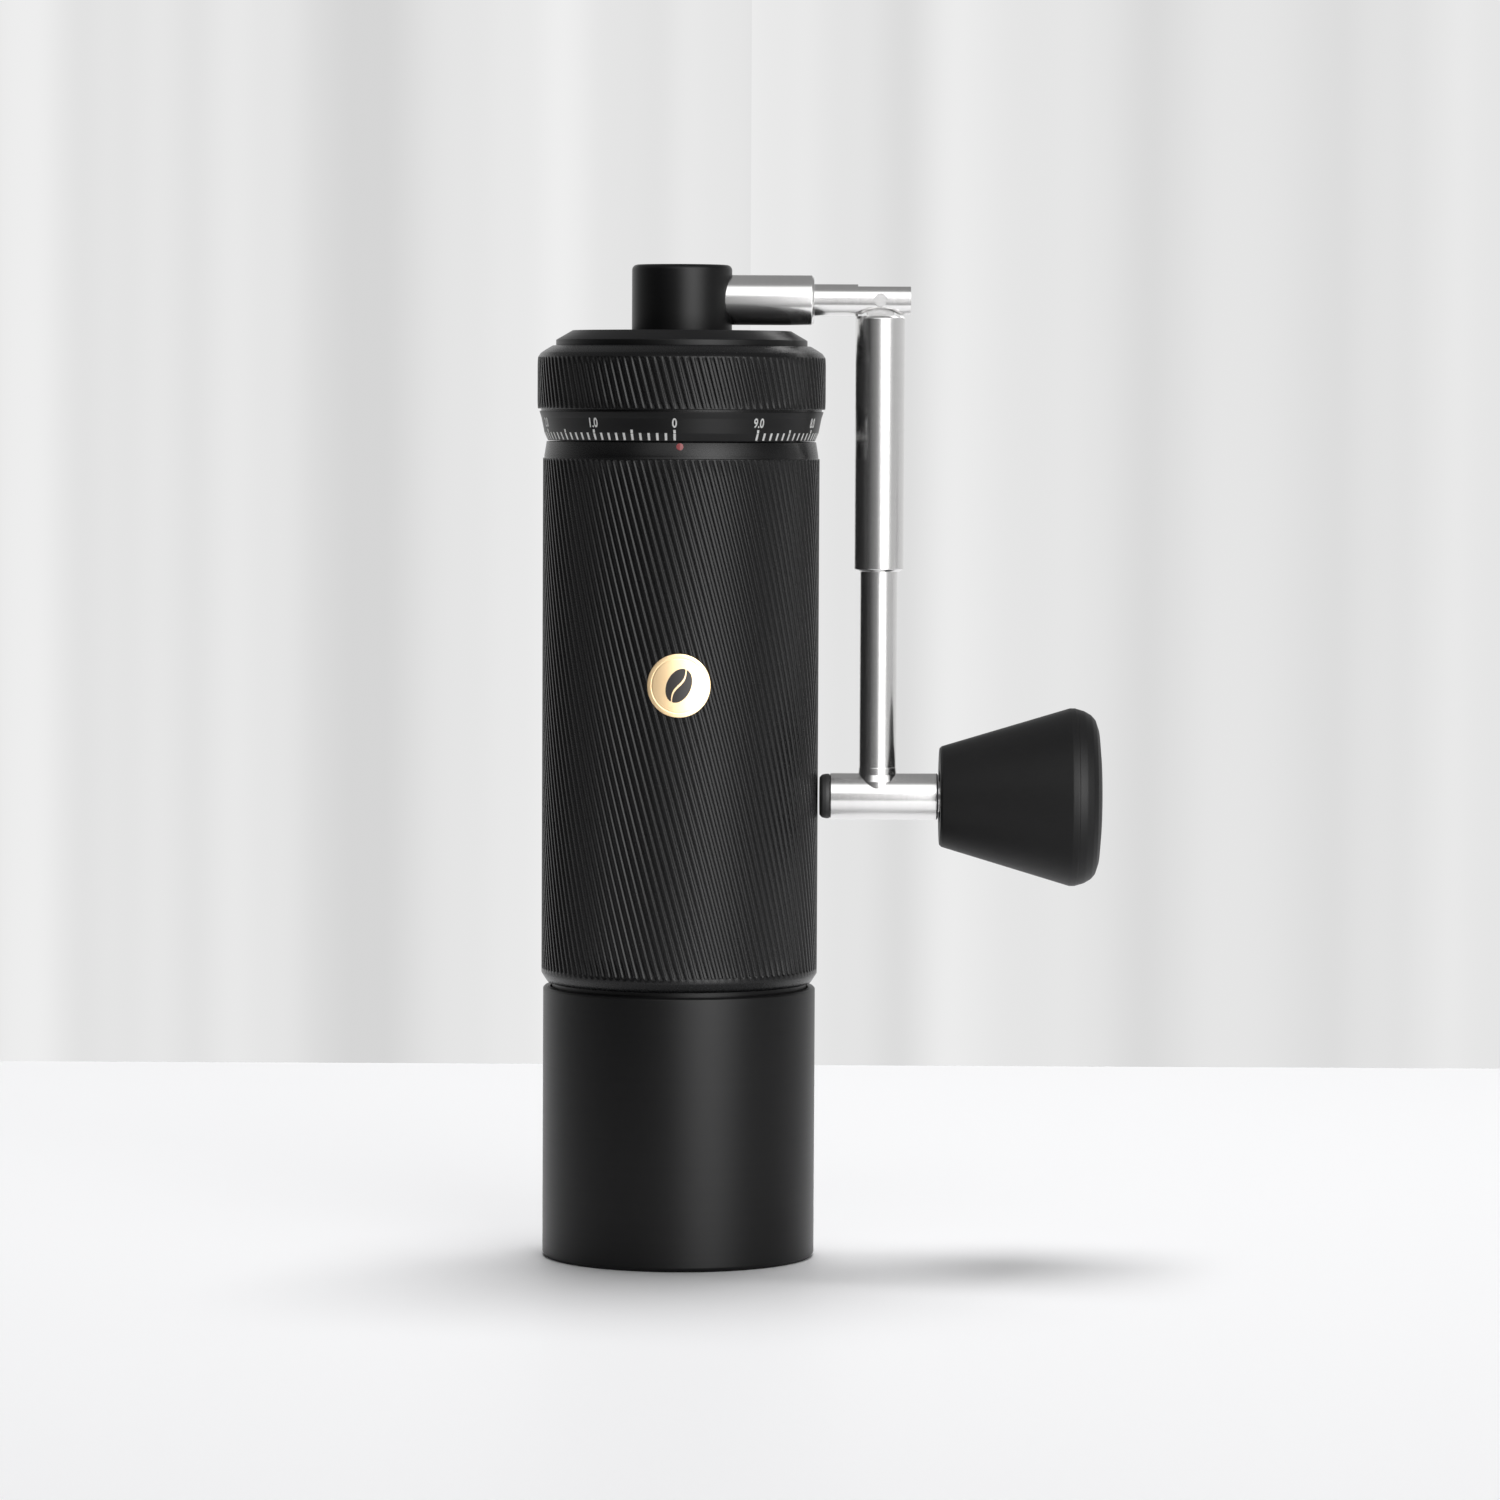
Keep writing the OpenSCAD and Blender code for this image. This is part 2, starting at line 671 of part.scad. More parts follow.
// Pin that the arm folds on
module fold_pin() {
    color(hard)
        translate([fold_x, fork_r - 0.15, arm_z]) rotate([90, 0, 0]) cylinder(r = pin_r, h = 2 * fork_r - 0.3);
}

// Arm rod: a flat tongue in the fork, then a round bar down to the tee
module arm_rod() {
    neck_len = 0.8;
    color(steel)
        difference() {
            union() {
                translate([fold_x, 0, 0]) cylinder_at(arm_r, knob_z + stud_r + 0.3, arm_z - shoulder);
                translate([fold_x, tongue_w / 2, arm_z]) rotate([90, 0, 0])
                    cylinder(r = tongue_r, h = tongue_w);
                translate([fold_x - tongue_r, -tongue_w / 2, arm_z - shoulder - neck_len])
                    cube([2 * tongue_r, tongue_w, shoulder + neck_len]);
            }
            translate([fold_x, 5, arm_z]) rotate([90, 0, 0]) cylinder(r = pin_r + fit, h = 10);
        }
}

// Cross tube that joins the arm rod, the bumper and the knob spindle
module tee() {
    edge = 0.3;
    color(steel)
        difference() {
            translate([0, 0, knob_z])
                turned_x([[tee_x0, 0], [tee_x0, tee_r - edge], [tee_x0 + edge, tee_r],
                    [tee_x1 - edge, tee_r], [tee_x1, tee_r - edge], [tee_x1, 0]]);
            bar_x(stud_r + fit, fold_x - 6, tee_x1 + 1, knob_z);
            bar_x(1 + fit, tee_x0 - 1, tee_x0 + 3, knob_z);
            translate([fold_x, 0, 0]) cylinder_at(arm_r + fit, knob_z + stud_r + 0.3, knob_z + 10);
        }
}

// Rubber bumper that meets the body when the arm is folded
module bumper() {
    color(black)
        difference() {
            translate([0, 0, knob_z])
                turned_x([[bumper_x0, 0], [bumper_x0, tee_r - 0.9], [bumper_x0 + 0.4, tee_r - 0.4],
                    [bumper_x0 + 1, tee_r - 0.2], [bumper_x0 + 1.8, tee_r - 0.2], [bumper_x0 + 1.8, 0]]);
            bar_x(1 + fit, bumper_x0 + 0.9, tee_x0 + 1, knob_z);
        }
}

// Stud that holds the bumper in the tee
module bumper_screw() {
    color(steel) bar_x(1, bumper_x0 + 1, tee_x0 + 2.8, knob_z);
}

// Spindle screwed into the tee, with a head that keeps the knob on
module knob_spindle() {
    color(steel)
        translate([0, 0, knob_z])
            turned_x([[fold_x - 5.8, 0], [fold_x - 5.8, stud_r], [tee_x1, stud_r], [tee_x1, spindle_r],
                [cap_x - 2.6, spindle_r], [cap_x - 2.6, 4.6], [cap_x - 1, 4.6], [cap_x - 1, 0]]);
}

// Sleeve that slides along the arm rod and locks the fold joint
module lock_sleeve() {
    edge = 0.5;
    z0 = sleeve_z1 - sleeve_len;
    color(steel)
        translate([fold_x, 0, 0])
            rotate_extrude()
                polygon([[arm_r + fit, z0], [sleeve_r - edge, z0], [sleeve_r, z0 + edge],
                    [sleeve_r, sleeve_z1 - edge], [sleeve_r - edge, sleeve_z1], [arm_r + fit, sleeve_z1]]);
}

// Knob: a turned cone bored for its two bushes
module knob() {
    well_x = cap_x - 3.2;
    color(black)
        translate([0, 0, knob_z])
            turned_x([[knob_x0, bush_r + fit], [knob_x0, knob_neck_r - 0.4], [knob_x0 + 0.4, knob_neck_r],
                [cap_x - 1.3, knob_r], [cap_x - 0.3, knob_r], [cap_x, knob_r - 0.1],
                [cap_x, 7], [well_x, 7], [well_x, bush_r + fit]]);
}

// Crowned cap pressed into the knob's wide end
module knob_cap() {
    color(black)
        translate([0, 0, knob_z])
            turned_x([[cap_x, 0], [cap_x, knob_r - 0.1], [cap_x + 1.4, knob_r - 0.5],
                [cap_x + 2.7, knob_r - 1.25], [cap_x + 3.5, knob_r - 2.15], [cap_x + 4.1, knob_r - 3.95],
                [cap_x + 4.5, knob_r - 8], [cap_x + 4.7, 0]]);
}

// Bushes pressed into the knob's bore
module front_bush() {
    color(grey) translate([0, 0, knob_z])
        turned_x([[knob_x0 + 0.4, spindle_r + fit], [knob_x0 + 0.4, bush_r], [knob_x0 + 7, bush_r],
            [knob_x0 + 7, spindle_r + fit]]);
}

module rear_bush() {
    color(grey) translate([0, 0, knob_z])
        turned_x([[cap_x - 10, spindle_r + fit], [cap_x - 10, bush_r], [cap_x - 3.2, bush_r],
            [cap_x - 3.2, spindle_r + fit]]);
}

cup();
cup_steel_ring();
body_shell();
burr_housing();
spigot_seal();
cup_magnets();
ring_burr();
burr_clamp();
burr_screws();
liner_tube();
lower_spider();
lower_bearing();
preload_spring();
neck();
dial_retainer();
click_spring();
click_ball();
index_dot();
badge();
scale_band();
grip_ring();
drive_ring();
click_ring();
carriage();
upper_bearing();
shaft();
cone_burr();
burr_washer();
burr_nut();
upper_circlip();
lower_circlip();
spring_seat();
lid();
lid_seal();
lid_bush();
hub_shell();
hub_core();
core_clip();
arm_socket();
fork_rod();
fold_pin();
arm_rod();
tee();
bumper();
bumper_screw();
knob_spindle();
lock_sleeve();
knob();
knob_cap();
front_bush();
rear_bush();
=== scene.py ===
# %% [markdown]
# # A hand coffee grinder with a folding crank
# A slim knurled tube holds the beans and the burrs, a smooth cup below catches the grounds, and a
# numbered dial under the lid sets how fine the grinder grinds. The crank is folded down beside the
# body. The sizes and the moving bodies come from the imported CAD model, which is never moved here:
# each piece below either paints a CAD part or stands in for one with a finer surface.

# %% Load the frame
from math import atan, cos, degrees, pi, radians, sin, tan

import bmesh
import bpy
from mathutils import Matrix, Vector


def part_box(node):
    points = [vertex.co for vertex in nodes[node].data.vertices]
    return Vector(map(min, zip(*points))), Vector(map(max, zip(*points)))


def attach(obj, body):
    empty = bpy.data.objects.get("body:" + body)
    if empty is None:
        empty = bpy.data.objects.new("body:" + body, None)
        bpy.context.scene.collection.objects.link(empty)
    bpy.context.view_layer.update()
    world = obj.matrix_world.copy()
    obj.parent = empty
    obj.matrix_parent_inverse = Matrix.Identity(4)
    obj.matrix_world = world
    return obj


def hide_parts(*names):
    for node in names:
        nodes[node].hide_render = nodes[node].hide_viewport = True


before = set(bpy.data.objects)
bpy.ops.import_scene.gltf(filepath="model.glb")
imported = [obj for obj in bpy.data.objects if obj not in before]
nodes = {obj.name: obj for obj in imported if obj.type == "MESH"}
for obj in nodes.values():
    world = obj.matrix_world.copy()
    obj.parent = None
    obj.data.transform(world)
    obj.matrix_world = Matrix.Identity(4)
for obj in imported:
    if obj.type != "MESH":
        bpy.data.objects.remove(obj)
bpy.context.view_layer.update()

MM = 0.001
scene = bpy.context.scene

# %% [markdown]
# ## Sizes
# The main sizes are read off the CAD boxes: a box gives a round part's radius and its two ends. The
# profiles further down start from those, and their small steps and fillets are in millimetres.


# %% Read the sizes
def span(node, axis):
    """Lowest and highest coordinate of a CAD node along x, y or z, in metres."""
    low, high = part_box(node)
    return low["xyz".index(axis)], high["xyz".index(axis)]


def ends(node, axis):
    """The same two coordinates in millimetres."""
    return tuple(value / MM for value in span(node, axis))


def half_width(node, axis):
    """Half of a CAD node's extent along x, y or z, in millimetres."""
    low, high = span(node, axis)
    return (high - low) / 2 / MM


BODY_R = span("body_shell", "y")[1]
BODY_Z0, BODY_Z1 = span("body_shell", "z")
CUP_Z1 = span("cup", "z")[1]
DIAL_R = span("grip_ring", "y")[1]
BAND_Z0, BAND_Z1 = span("scale_band", "z")
DIAL_Z1 = span("grip_ring", "z")[1]
HUB_R = span("hub_shell", "y")[1]
ARM_X = sum(span("lock_sleeve", "x")) / 2
ARM_Z = sum(span("arm_socket", "z")) / 2
KNOB_Z = sum(span("tee", "z")) / 2
print(f"body radius {BODY_R / MM:.1f} mm, arm at x {ARM_X / MM:.1f} mm,",
      f"knob axis at z {KNOB_Z / MM:.1f} mm")

# %% [markdown]
# ## Camera
# A long lens a little over a metre away, level with the dial and tipped slightly down, so that the
# dial's edges look straight and the cup's base shows a shallow curve. The crank's plane lies square
# to the view.

# %% Place the camera
VIEW_X, VIEW_Z = 12.84 * MM, 95.6 * MM
CAMERA_DISTANCE = 1.168
CAMERA_HEIGHT = 0.1616
CAMERA_ROLL = radians(-0.29)
LENS_LENGTH = 149.0
camera_data = bpy.data.cameras.new("view_camera")
camera_data.sensor_width = 36
camera_data.lens = LENS_LENGTH
camera_data.clip_start = 0.05
camera_data.clip_end = 30
camera = bpy.data.objects.new("view_camera", camera_data)
scene.collection.objects.link(camera)
camera.location = (VIEW_X, -CAMERA_DISTANCE, CAMERA_HEIGHT)
camera.rotation_euler = (pi / 2 - atan((CAMERA_HEIGHT - VIEW_Z) / CAMERA_DISTANCE), CAMERA_ROLL, 0)
scene.camera = camera
print("camera pitch", round(degrees(camera.rotation_euler.x) - 90, 2))

# %% [markdown]
# ## Table, backdrop and light
# The grinder stands on a white table in front of a pale curtain. Black and polished steel show mostly
# what surrounds them, so the room matters more than how strong the lamps are: it is dim at the front
# left, a little lighter in front, and bright on the right and behind, with one lighter bank high in
# front. The world is painted by direction for that, and what the lens sees straight past the grinder
# stays a pale curtain, its folds painted as lighter and darker bands of painted light and shade. The
# sheen lamp shows only in reflections, and the top lamp only as soft light.

# %% Build the table
scene.view_settings.view_transform = "Standard"


def plain_material(name, colour, roughness=0.6):
    """A plain studio surface, for things that aren't part of the grinder."""
    material = bpy.data.materials.new(name)
    material.use_nodes = True
    shader = material.node_tree.nodes["Principled BSDF"]
    shader.inputs["Base Color"].default_value = (*colour, 1)
    shader.inputs["Roughness"].default_value = roughness
    return material


TABLE_FRONT, TABLE_BACK, TABLE_SIDE = -0.27, 0.335, 3
table_mesh = bpy.data.meshes.new("table")
table_corners = [(-TABLE_SIDE, TABLE_FRONT, 0), (TABLE_SIDE, TABLE_FRONT, 0),
                 (TABLE_SIDE, TABLE_BACK, 0), (-TABLE_SIDE, TABLE_BACK, 0)]
table_mesh.from_pydata(table_corners, [], [(0, 1, 2, 3)])
table_mesh.materials.append(plain_material("table_white", (0.87, 0.87, 0.88), 0.55))
table = bpy.data.objects.new("table", table_mesh)
scene.collection.objects.link(table)
print("table back edge", TABLE_BACK)

# %% Paint the room by direction
# Degrees round from the camera's side towards the right, and how bright the wall is there
ROOM = [(-180, 0.85), (-135, 0.85), (-105, 0.40), (-78, 0.12), (-50, 0.04), (-40, 0.12), (-10, 0.22),
        (12, 0.28), (20, 0.40), (55, 0.45), (64, 0.62), (130, 0.72), (150, 0.85), (180, 0.85)]
BANK_LIGHT = 1.1
SHADOW_FILL = 0.22


def add_node(tree, kind, operation=None, values=None, **settings):
    """A node with its operation, its properties and any plain input values set."""
    node = tree.nodes.new(kind)
    if operation:
        node.operation = operation
    for key, value in settings.items():
        setattr(node, key, value)
    for key, value in (values or {}).items():
        node.inputs[key].default_value = value
    return node


def wire(tree, *pairs):
    """Links (output, input) socket pairs."""
    for out, into in pairs:
        tree.links.new(out, into)


def build_room():
    """A world that is a pale curtain to the lens, and a room of soft panels to everything else."""
    world = bpy.data.worlds.new("studio_room")
    world.use_nodes = True
    tree = world.node_tree
    tree.nodes.clear()
    where = tree.nodes.new("ShaderNodeTexCoord")
    split = add_node(tree, "ShaderNodeSeparateXYZ")
    toward = add_node(tree, "ShaderNodeMath", "MULTIPLY", {1: -1.0})
    azimuth = add_node(tree, "ShaderNodeMath", "ARCTAN2")
    share = add_node(tree, "ShaderNodeMapRange", values={"From Min": -pi, "From Max": pi})
    ramp = tree.nodes.new("ShaderNodeValToRGB")
    while len(ramp.color_ramp.elements) > 1:
        ramp.color_ramp.elements.remove(ramp.color_ramp.elements[0])
    for i, (degree, light) in enumerate(ROOM):
        spot = ramp.color_ramp.elements[0] if i == 0 else ramp.color_ramp.elements.new(0.5)
        spot.position = (degree + 180) / 360
        spot.color = (light, light, light, 1)
    low = add_node(tree, "ShaderNodeMapRange", values={"From Min": 0.42, "From Max": 0.32, "To Min": 0.0})
    bank_foot = add_node(tree, "ShaderNodeMapRange", values={"From Min": 0.30, "From Max": 0.38})
    bank_top = add_node(tree, "ShaderNodeMapRange", values={"From Min": 0.93, "From Max": 0.85})
    bank_left = add_node(tree, "ShaderNodeMapRange", values={"From Min": -0.75, "From Max": -0.45})
    bank_right = add_node(tree, "ShaderNodeMapRange", values={"From Min": 1.3, "From Max": 1.05})
    bank_tall = add_node(tree, "ShaderNodeMath", "MULTIPLY")
    bank_wide = add_node(tree, "ShaderNodeMath", "MULTIPLY")
    bank = add_node(tree, "ShaderNodeMath", "MULTIPLY")
    bank_glow = add_node(tree, "ShaderNodeMath", "MULTIPLY", {1: BANK_LIGHT})
    walls = add_node(tree, "ShaderNodeMix", data_type="RGBA", values={6: (0.28, 0.28, 0.28, 1)})
    lit = add_node(tree, "ShaderNodeMix", data_type="RGBA", values={0: 1.0}, blend_type="ADD")
    room = tree.nodes.new("ShaderNodeBackground")
    fold_line = tree.nodes.new("ShaderNodeCombineXYZ")
    # The curtain's folds are painted light and shade: noise round the direction gives lighter and darker
    # vertical bands
    fold_light_and_shade = add_node(tree, "ShaderNodeTexNoise", values={"Scale": 31.0, "Detail": 2.0, "Roughness": 0.45})
    shade = add_node(tree, "ShaderNodeMapRange", values={"From Min": 0.36, "From Max": 0.60, "To Min": 0.67,
                                                         "To Max": 0.87})
    floor_side = add_node(tree, "ShaderNodeMapRange", values={"From Min": -0.125, "From Max": -0.135,
                                                              "To Min": 0.0, "To Max": 1.0})
    seen = add_node(tree, "ShaderNodeMix", data_type="FLOAT", values={3: 0.93})
    curtain = tree.nodes.new("ShaderNodeBackground")
    path = tree.nodes.new("ShaderNodeLightPath")
    fill = add_node(tree, "ShaderNodeMapRange", values={"To Min": 1.0, "To Max": SHADOW_FILL})
    choose = tree.nodes.new("ShaderNodeMixShader")
    output = tree.nodes.new("ShaderNodeOutputWorld")
    wire(tree, (where.outputs["Generated"], split.inputs[0]), (split.outputs["Y"], toward.inputs[0]),
         (split.outputs["X"], azimuth.inputs[0]), (toward.outputs[0], azimuth.inputs[1]),
         (azimuth.outputs[0], share.inputs["Value"]), (share.outputs[0], ramp.inputs["Fac"]),
         (split.outputs["Z"], low.inputs["Value"]), (low.outputs[0], walls.inputs[0]),
         (ramp.outputs["Color"], walls.inputs[7]), (split.outputs["Z"], bank_foot.inputs["Value"]),
         (split.outputs["Z"], bank_top.inputs["Value"]), (azimuth.outputs[0], bank_left.inputs["Value"]),
         (azimuth.outputs[0], bank_right.inputs["Value"]), (bank_foot.outputs[0], bank_tall.inputs[0]),
         (bank_top.outputs[0], bank_tall.inputs[1]), (bank_left.outputs[0], bank_wide.inputs[0]),
         (bank_right.outputs[0], bank_wide.inputs[1]), (bank_tall.outputs[0], bank.inputs[0]),
         (bank_wide.outputs[0], bank.inputs[1]), (bank.outputs[0], bank_glow.inputs[0]),
         (walls.outputs[2], lit.inputs[6]), (bank_glow.outputs[0], lit.inputs[7]),
         (lit.outputs[2], room.inputs["Color"]),
         (path.outputs["Is Diffuse Ray"], fill.inputs["Value"]), (fill.outputs[0], room.inputs["Strength"]),
         (azimuth.outputs[0], fold_line.inputs["X"]), (fold_line.outputs[0], fold_light_and_shade.inputs["Vector"]),
         (fold_light_and_shade.outputs["Fac"], shade.inputs["Value"]), (split.outputs["Z"], floor_side.inputs["Value"]),
         (floor_side.outputs[0], seen.inputs[0]), (shade.outputs[0], seen.inputs[2]),
         (seen.outputs[0], curtain.inputs["Color"]),
         (path.outputs["Is Camera Ray"], choose.inputs[0]), (room.outputs[0], choose.inputs[1]),
         (curtain.outputs[0], choose.inputs[2]), (choose.outputs[0], output.inputs["Surface"]))
    return world


scene.world = build_room()


# %% Hang the lamps
def soft_light(name, place, aim, width, height, power, colour=(1, 1, 1)):
    """A rectangular soft light at place, facing aim."""
    data = bpy.data.lights.new(name, "AREA")
    data.shape = "RECTANGLE"
    data.size, data.size_y = width, height
    data.energy = power
    data.color = colour
    lamp = bpy.data.objects.new(name, data)
    scene.collection.objects.link(lamp)
    lamp.location = place
    lamp.rotation_euler = (Vector(aim) - Vector(place)).to_track_quat("-Z", "Y").to_euler()
    return lamp


def around(azimuth, elevation, distance):
    """A point around the grinder: azimuth 0 is the camera's side, and positive goes to the right."""
    a, e = radians(azimuth), radians(elevation)
    return (distance * cos(e) * sin(a), -distance * cos(e) * cos(a), 0.09 + distance * sin(e))


MIDDLE = (0.01, 0, 0.09)
FRONT_RIGHT = around(26, 14, 1.3)
soft_light("key_light", FRONT_RIGHT, MIDDLE, 0.70, 1.4, 5.0)
sheen_light = soft_light("sheen_light", FRONT_RIGHT, MIDDLE, 0.70, 1.4, 36.0)
sheen_light.visible_diffuse = False
top_light = soft_light("top_light", around(165, 78, 1.5), (0.0, 0.0, 0), 0.7, 0.7, 25.0)
top_light.visible_glossy = False

# %% [markdown]
# ## Shared surface effects
# The finishes share a few things: the fine rings that a lathe leaves, soft mottling, worn edges and
# a fine sandblasted grain. Each is a node group, so one change reaches every material that uses it.
# A group puts out only values, and the shader itself stays in the material.


# %% Helpers for shader node groups
def new_group(name, inputs, outputs):
    """An empty shader node group with named float or vector sockets, and its two end nodes."""
    group = bpy.data.node_groups.new(name, "ShaderNodeTree")
    for label, kind, value in inputs:
        socket = group.interface.new_socket(label, in_out="INPUT", socket_type=kind)
        if value is not None:
            socket.default_value = value
    for label, kind in outputs:
        group.interface.new_socket(label, in_out="OUTPUT", socket_type=kind)
    return group, group.nodes.new("NodeGroupInput"), group.nodes.new("NodeGroupOutput")


FLOAT, VECTOR = "NodeSocketFloat", "NodeSocketVector"


# %% Lathe rings, for any part turned about its own axis
def build_turned_rings():
    """Fine rings round the z axis of the vector that comes in, as a mask from 0 to 1."""
    group, first, last = new_group(
        "turned_rings",
        [("Point", VECTOR, None), ("Rings per mm", FLOAT, 8.0), ("Waver", FLOAT, 0.15)],
        [("Rings", FLOAT), ("Broad", FLOAT)])
    split = add_node(group, "ShaderNodeSeparateXYZ")
    across = add_node(group, "ShaderNodeVectorMath", "MULTIPLY", {1: (1, 1, 0)})
    radius = add_node(group, "ShaderNodeVectorMath", "LENGTH")
    along = add_node(group, "ShaderNodeMath", "ADD")
    scaled = add_node(group, "ShaderNodeMath", "MULTIPLY")
    per_metre = add_node(group, "ShaderNodeMath", "MULTIPLY", {1: 1000.0})
    side = add_node(group, "ShaderNodeVectorMath", "NORMALIZE")
    small = add_node(group, "ShaderNodeVectorMath", "SCALE")
    place = add_node(group, "ShaderNodeCombineXYZ")
    joined = add_node(group, "ShaderNodeVectorMath", "ADD")
    fine = add_node(group, "ShaderNodeTexNoise", values={"Scale": 1.0, "Detail": 3.0, "Roughness": 0.7})
    slow = add_node(group, "ShaderNodeTexNoise", values={"Scale": 0.12, "Detail": 2.0})
    wire(group,
         (first.outputs["Point"], split.inputs[0]), (first.outputs["Point"], across.inputs[0]),
         (across.outputs[0], radius.inputs[0]), (across.outputs[0], side.inputs[0]),
         (split.outputs["Z"], along.inputs[0]), (radius.outputs["Value"], along.inputs[1]),
         (first.outputs["Rings per mm"], per_metre.inputs[0]),
         (along.outputs[0], scaled.inputs[0]), (per_metre.outputs[0], scaled.inputs[1]),
         (scaled.outputs[0], place.inputs["Z"]),
         (side.outputs[0], small.inputs[0]), (first.outputs["Waver"], small.inputs["Scale"]),
         (small.outputs[0], joined.inputs[0]), (place.outputs[0], joined.inputs[1]),
         (joined.outputs[0], fine.inputs["Vector"]), (joined.outputs[0], slow.inputs["Vector"]),
         (fine.outputs["Fac"], last.inputs["Rings"]), (slow.outputs["Fac"], last.inputs["Broad"]))
    return group


# %% Sandblasted grain and soft mottling
def build_blasted_grain():
    """Fine even grain and slow mottling over a surface, both from 0 to 1."""
    group, first, last = new_group(
        "blasted_grain",
        [("Point", VECTOR, None), ("Grain per mm", FLOAT, 9.0), ("Patch size mm", FLOAT, 12.0)],
        [("Grain", FLOAT), ("Mottle", FLOAT)])
    per_metre = add_node(group, "ShaderNodeMath", "MULTIPLY", {1: 1000.0})
    patch = add_node(group, "ShaderNodeMath", "DIVIDE", {0: 1000.0})
    grain = add_node(group, "ShaderNodeTexNoise", values={"Detail": 2.0, "Roughness": 0.6})
    mottle = add_node(group, "ShaderNodeTexNoise", values={"Detail": 4.0, "Roughness": 0.55})
    wire(group,
         (first.outputs["Grain per mm"], per_metre.inputs[0]),
         (first.outputs["Patch size mm"], patch.inputs[1]),
         (first.outputs["Point"], grain.inputs["Vector"]),
         (first.outputs["Point"], mottle.inputs["Vector"]),
         (per_metre.outputs[0], grain.inputs["Scale"]), (patch.outputs[0], mottle.inputs["Scale"]),
         (grain.outputs["Fac"], last.inputs["Grain"]), (mottle.outputs["Fac"], last.inputs["Mottle"]))
    return group


# %% Mixing a colour and a roughness by a mask
def build_worn_finish():
    """Blends a sound finish into a worn one by a mask, with a little slow mottling in both."""
    group, first, last = new_group(
        "worn_finish",
        [("Sound", "NodeSocketColor", None), ("Worn", "NodeSocketColor", None), ("Mask", FLOAT, 0.0),
         ("Mottle", FLOAT, 0.5), ("Roughness", FLOAT, 0.4), ("Spread", FLOAT, 0.15)],
        [("Color", "NodeSocketColor"), ("Roughness", FLOAT)])
    colour = add_node(group, "ShaderNodeMix", data_type="RGBA")
    swing = add_node(group, "ShaderNodeMapRange", values={"To Min": -1.0, "To Max": 1.0})
    amount = add_node(group, "ShaderNodeMath", "MULTIPLY")
    rough = add_node(group, "ShaderNodeMath", "ADD")
    wire(group,
         (first.outputs["Mask"], colour.inputs[0]), (first.outputs["Sound"], colour.inputs[6]),
         (first.outputs["Worn"], colour.inputs[7]), (first.outputs["Mottle"], swing.inputs["Value"]),
         (swing.outputs[0], amount.inputs[0]), (first.outputs["Spread"], amount.inputs[1]),
         (first.outputs["Roughness"], rough.inputs[0]), (amount.outputs[0], rough.inputs[1]),
         (colour.outputs[2], last.inputs["Color"]), (rough.outputs[0], last.inputs["Roughness"]))
    return group


TURNED_RINGS = build_turned_rings()
BLASTED_GRAIN = build_blasted_grain()
WORN_FINISH = build_worn_finish()
print("groups:", [g.name for g in bpy.data.node_groups])

# %% [markdown]
# ## Finishes
# Black anodising is a dyed oxide skin: nearly black, with a satin shine that spreads into one broad
# band. The crank is polished stainless steel, whose rings are so fine that they only soften its
# reflections. The knob is fine-textured plastic, and the badge is brushed brass.


# %% Start a material
def new_finish(name, metallic, axis_at=(0, 0, 0), axis_turn=(0, 0, 0), specular=0.5):
    """A Principled material and a Mapping node that puts the part's own axis on z."""
    material = bpy.data.materials.new(name)
    material.use_nodes = True
    tree = material.node_tree
    shader = tree.nodes["Principled BSDF"]
    shader.inputs["Metallic"].default_value = metallic
    shader.inputs["Specular IOR Level"].default_value = specular
    where = tree.nodes.new("ShaderNodeTexCoord")
    mapping = tree.nodes.new("ShaderNodeMapping")
    mapping.vector_type = "TEXTURE"
    mapping.inputs["Location"].default_value = axis_at
    mapping.inputs["Rotation"].default_value = axis_turn
    wire(tree, (where.outputs["Object"], mapping.inputs["Vector"]))
    return material, tree, shader, mapping.outputs[0]


def use_group(tree, group, values=None):
    """A group node placed in a material with its own values."""
    node = tree.nodes.new("ShaderNodeGroup")
    node.node_tree = group
    for key, value in (values or {}).items():
        node.inputs[key].default_value = value
    return node


def turned_metal(name, sound, worn, metallic, roughness, spread, rings, bump, axis_at=(0, 0, 0),
                 axis_turn=(0, 0, 0), waver=0.12, specular=0.5):
    """A part finished on the lathe: rings in its roughness and relief, mottling in its colour."""
    material, tree, shader, point = new_finish(name, metallic, axis_at, axis_turn, specular)
    ring_node = use_group(tree, TURNED_RINGS, {"Rings per mm": rings, "Waver": waver})
    grain = use_group(tree, BLASTED_GRAIN, {"Grain per mm": 14.0, "Patch size mm": 9.0})
    finish = use_group(tree, WORN_FINISH, {"Sound": (*sound, 1), "Worn": (*worn, 1),
                                           "Roughness": roughness, "Spread": spread})
    relief = add_node(tree, "ShaderNodeBump", values={"Strength": bump, "Distance": 0.00002})
    both = add_node(tree, "ShaderNodeMath", "MULTIPLY")
    wire(tree, (point, ring_node.inputs["Point"]), (point, grain.inputs["Point"]),
         (ring_node.outputs["Broad"], both.inputs[0]), (grain.outputs["Mottle"], both.inputs[1]),
         (both.outputs[0], finish.inputs["Mask"]), (ring_node.outputs["Rings"], finish.inputs["Mottle"]),
         (finish.outputs["Color"], shader.inputs["Base Color"]),
         (finish.outputs["Roughness"], shader.inputs["Roughness"]),
         (ring_node.outputs["Rings"], relief.inputs["Height"]),
         (relief.outputs["Normal"], shader.inputs["Normal"]))
    return material


def polished_steel(name, axis_at, axis_turn=(0, 0, 0)):
    """Stainless steel whose lathe rings only soften its reflections."""
    return turned_metal(name, STEEL, STEEL_WORN, 1.0, 0.2, 0.05, 6.0, 0.10, axis_at, axis_turn)


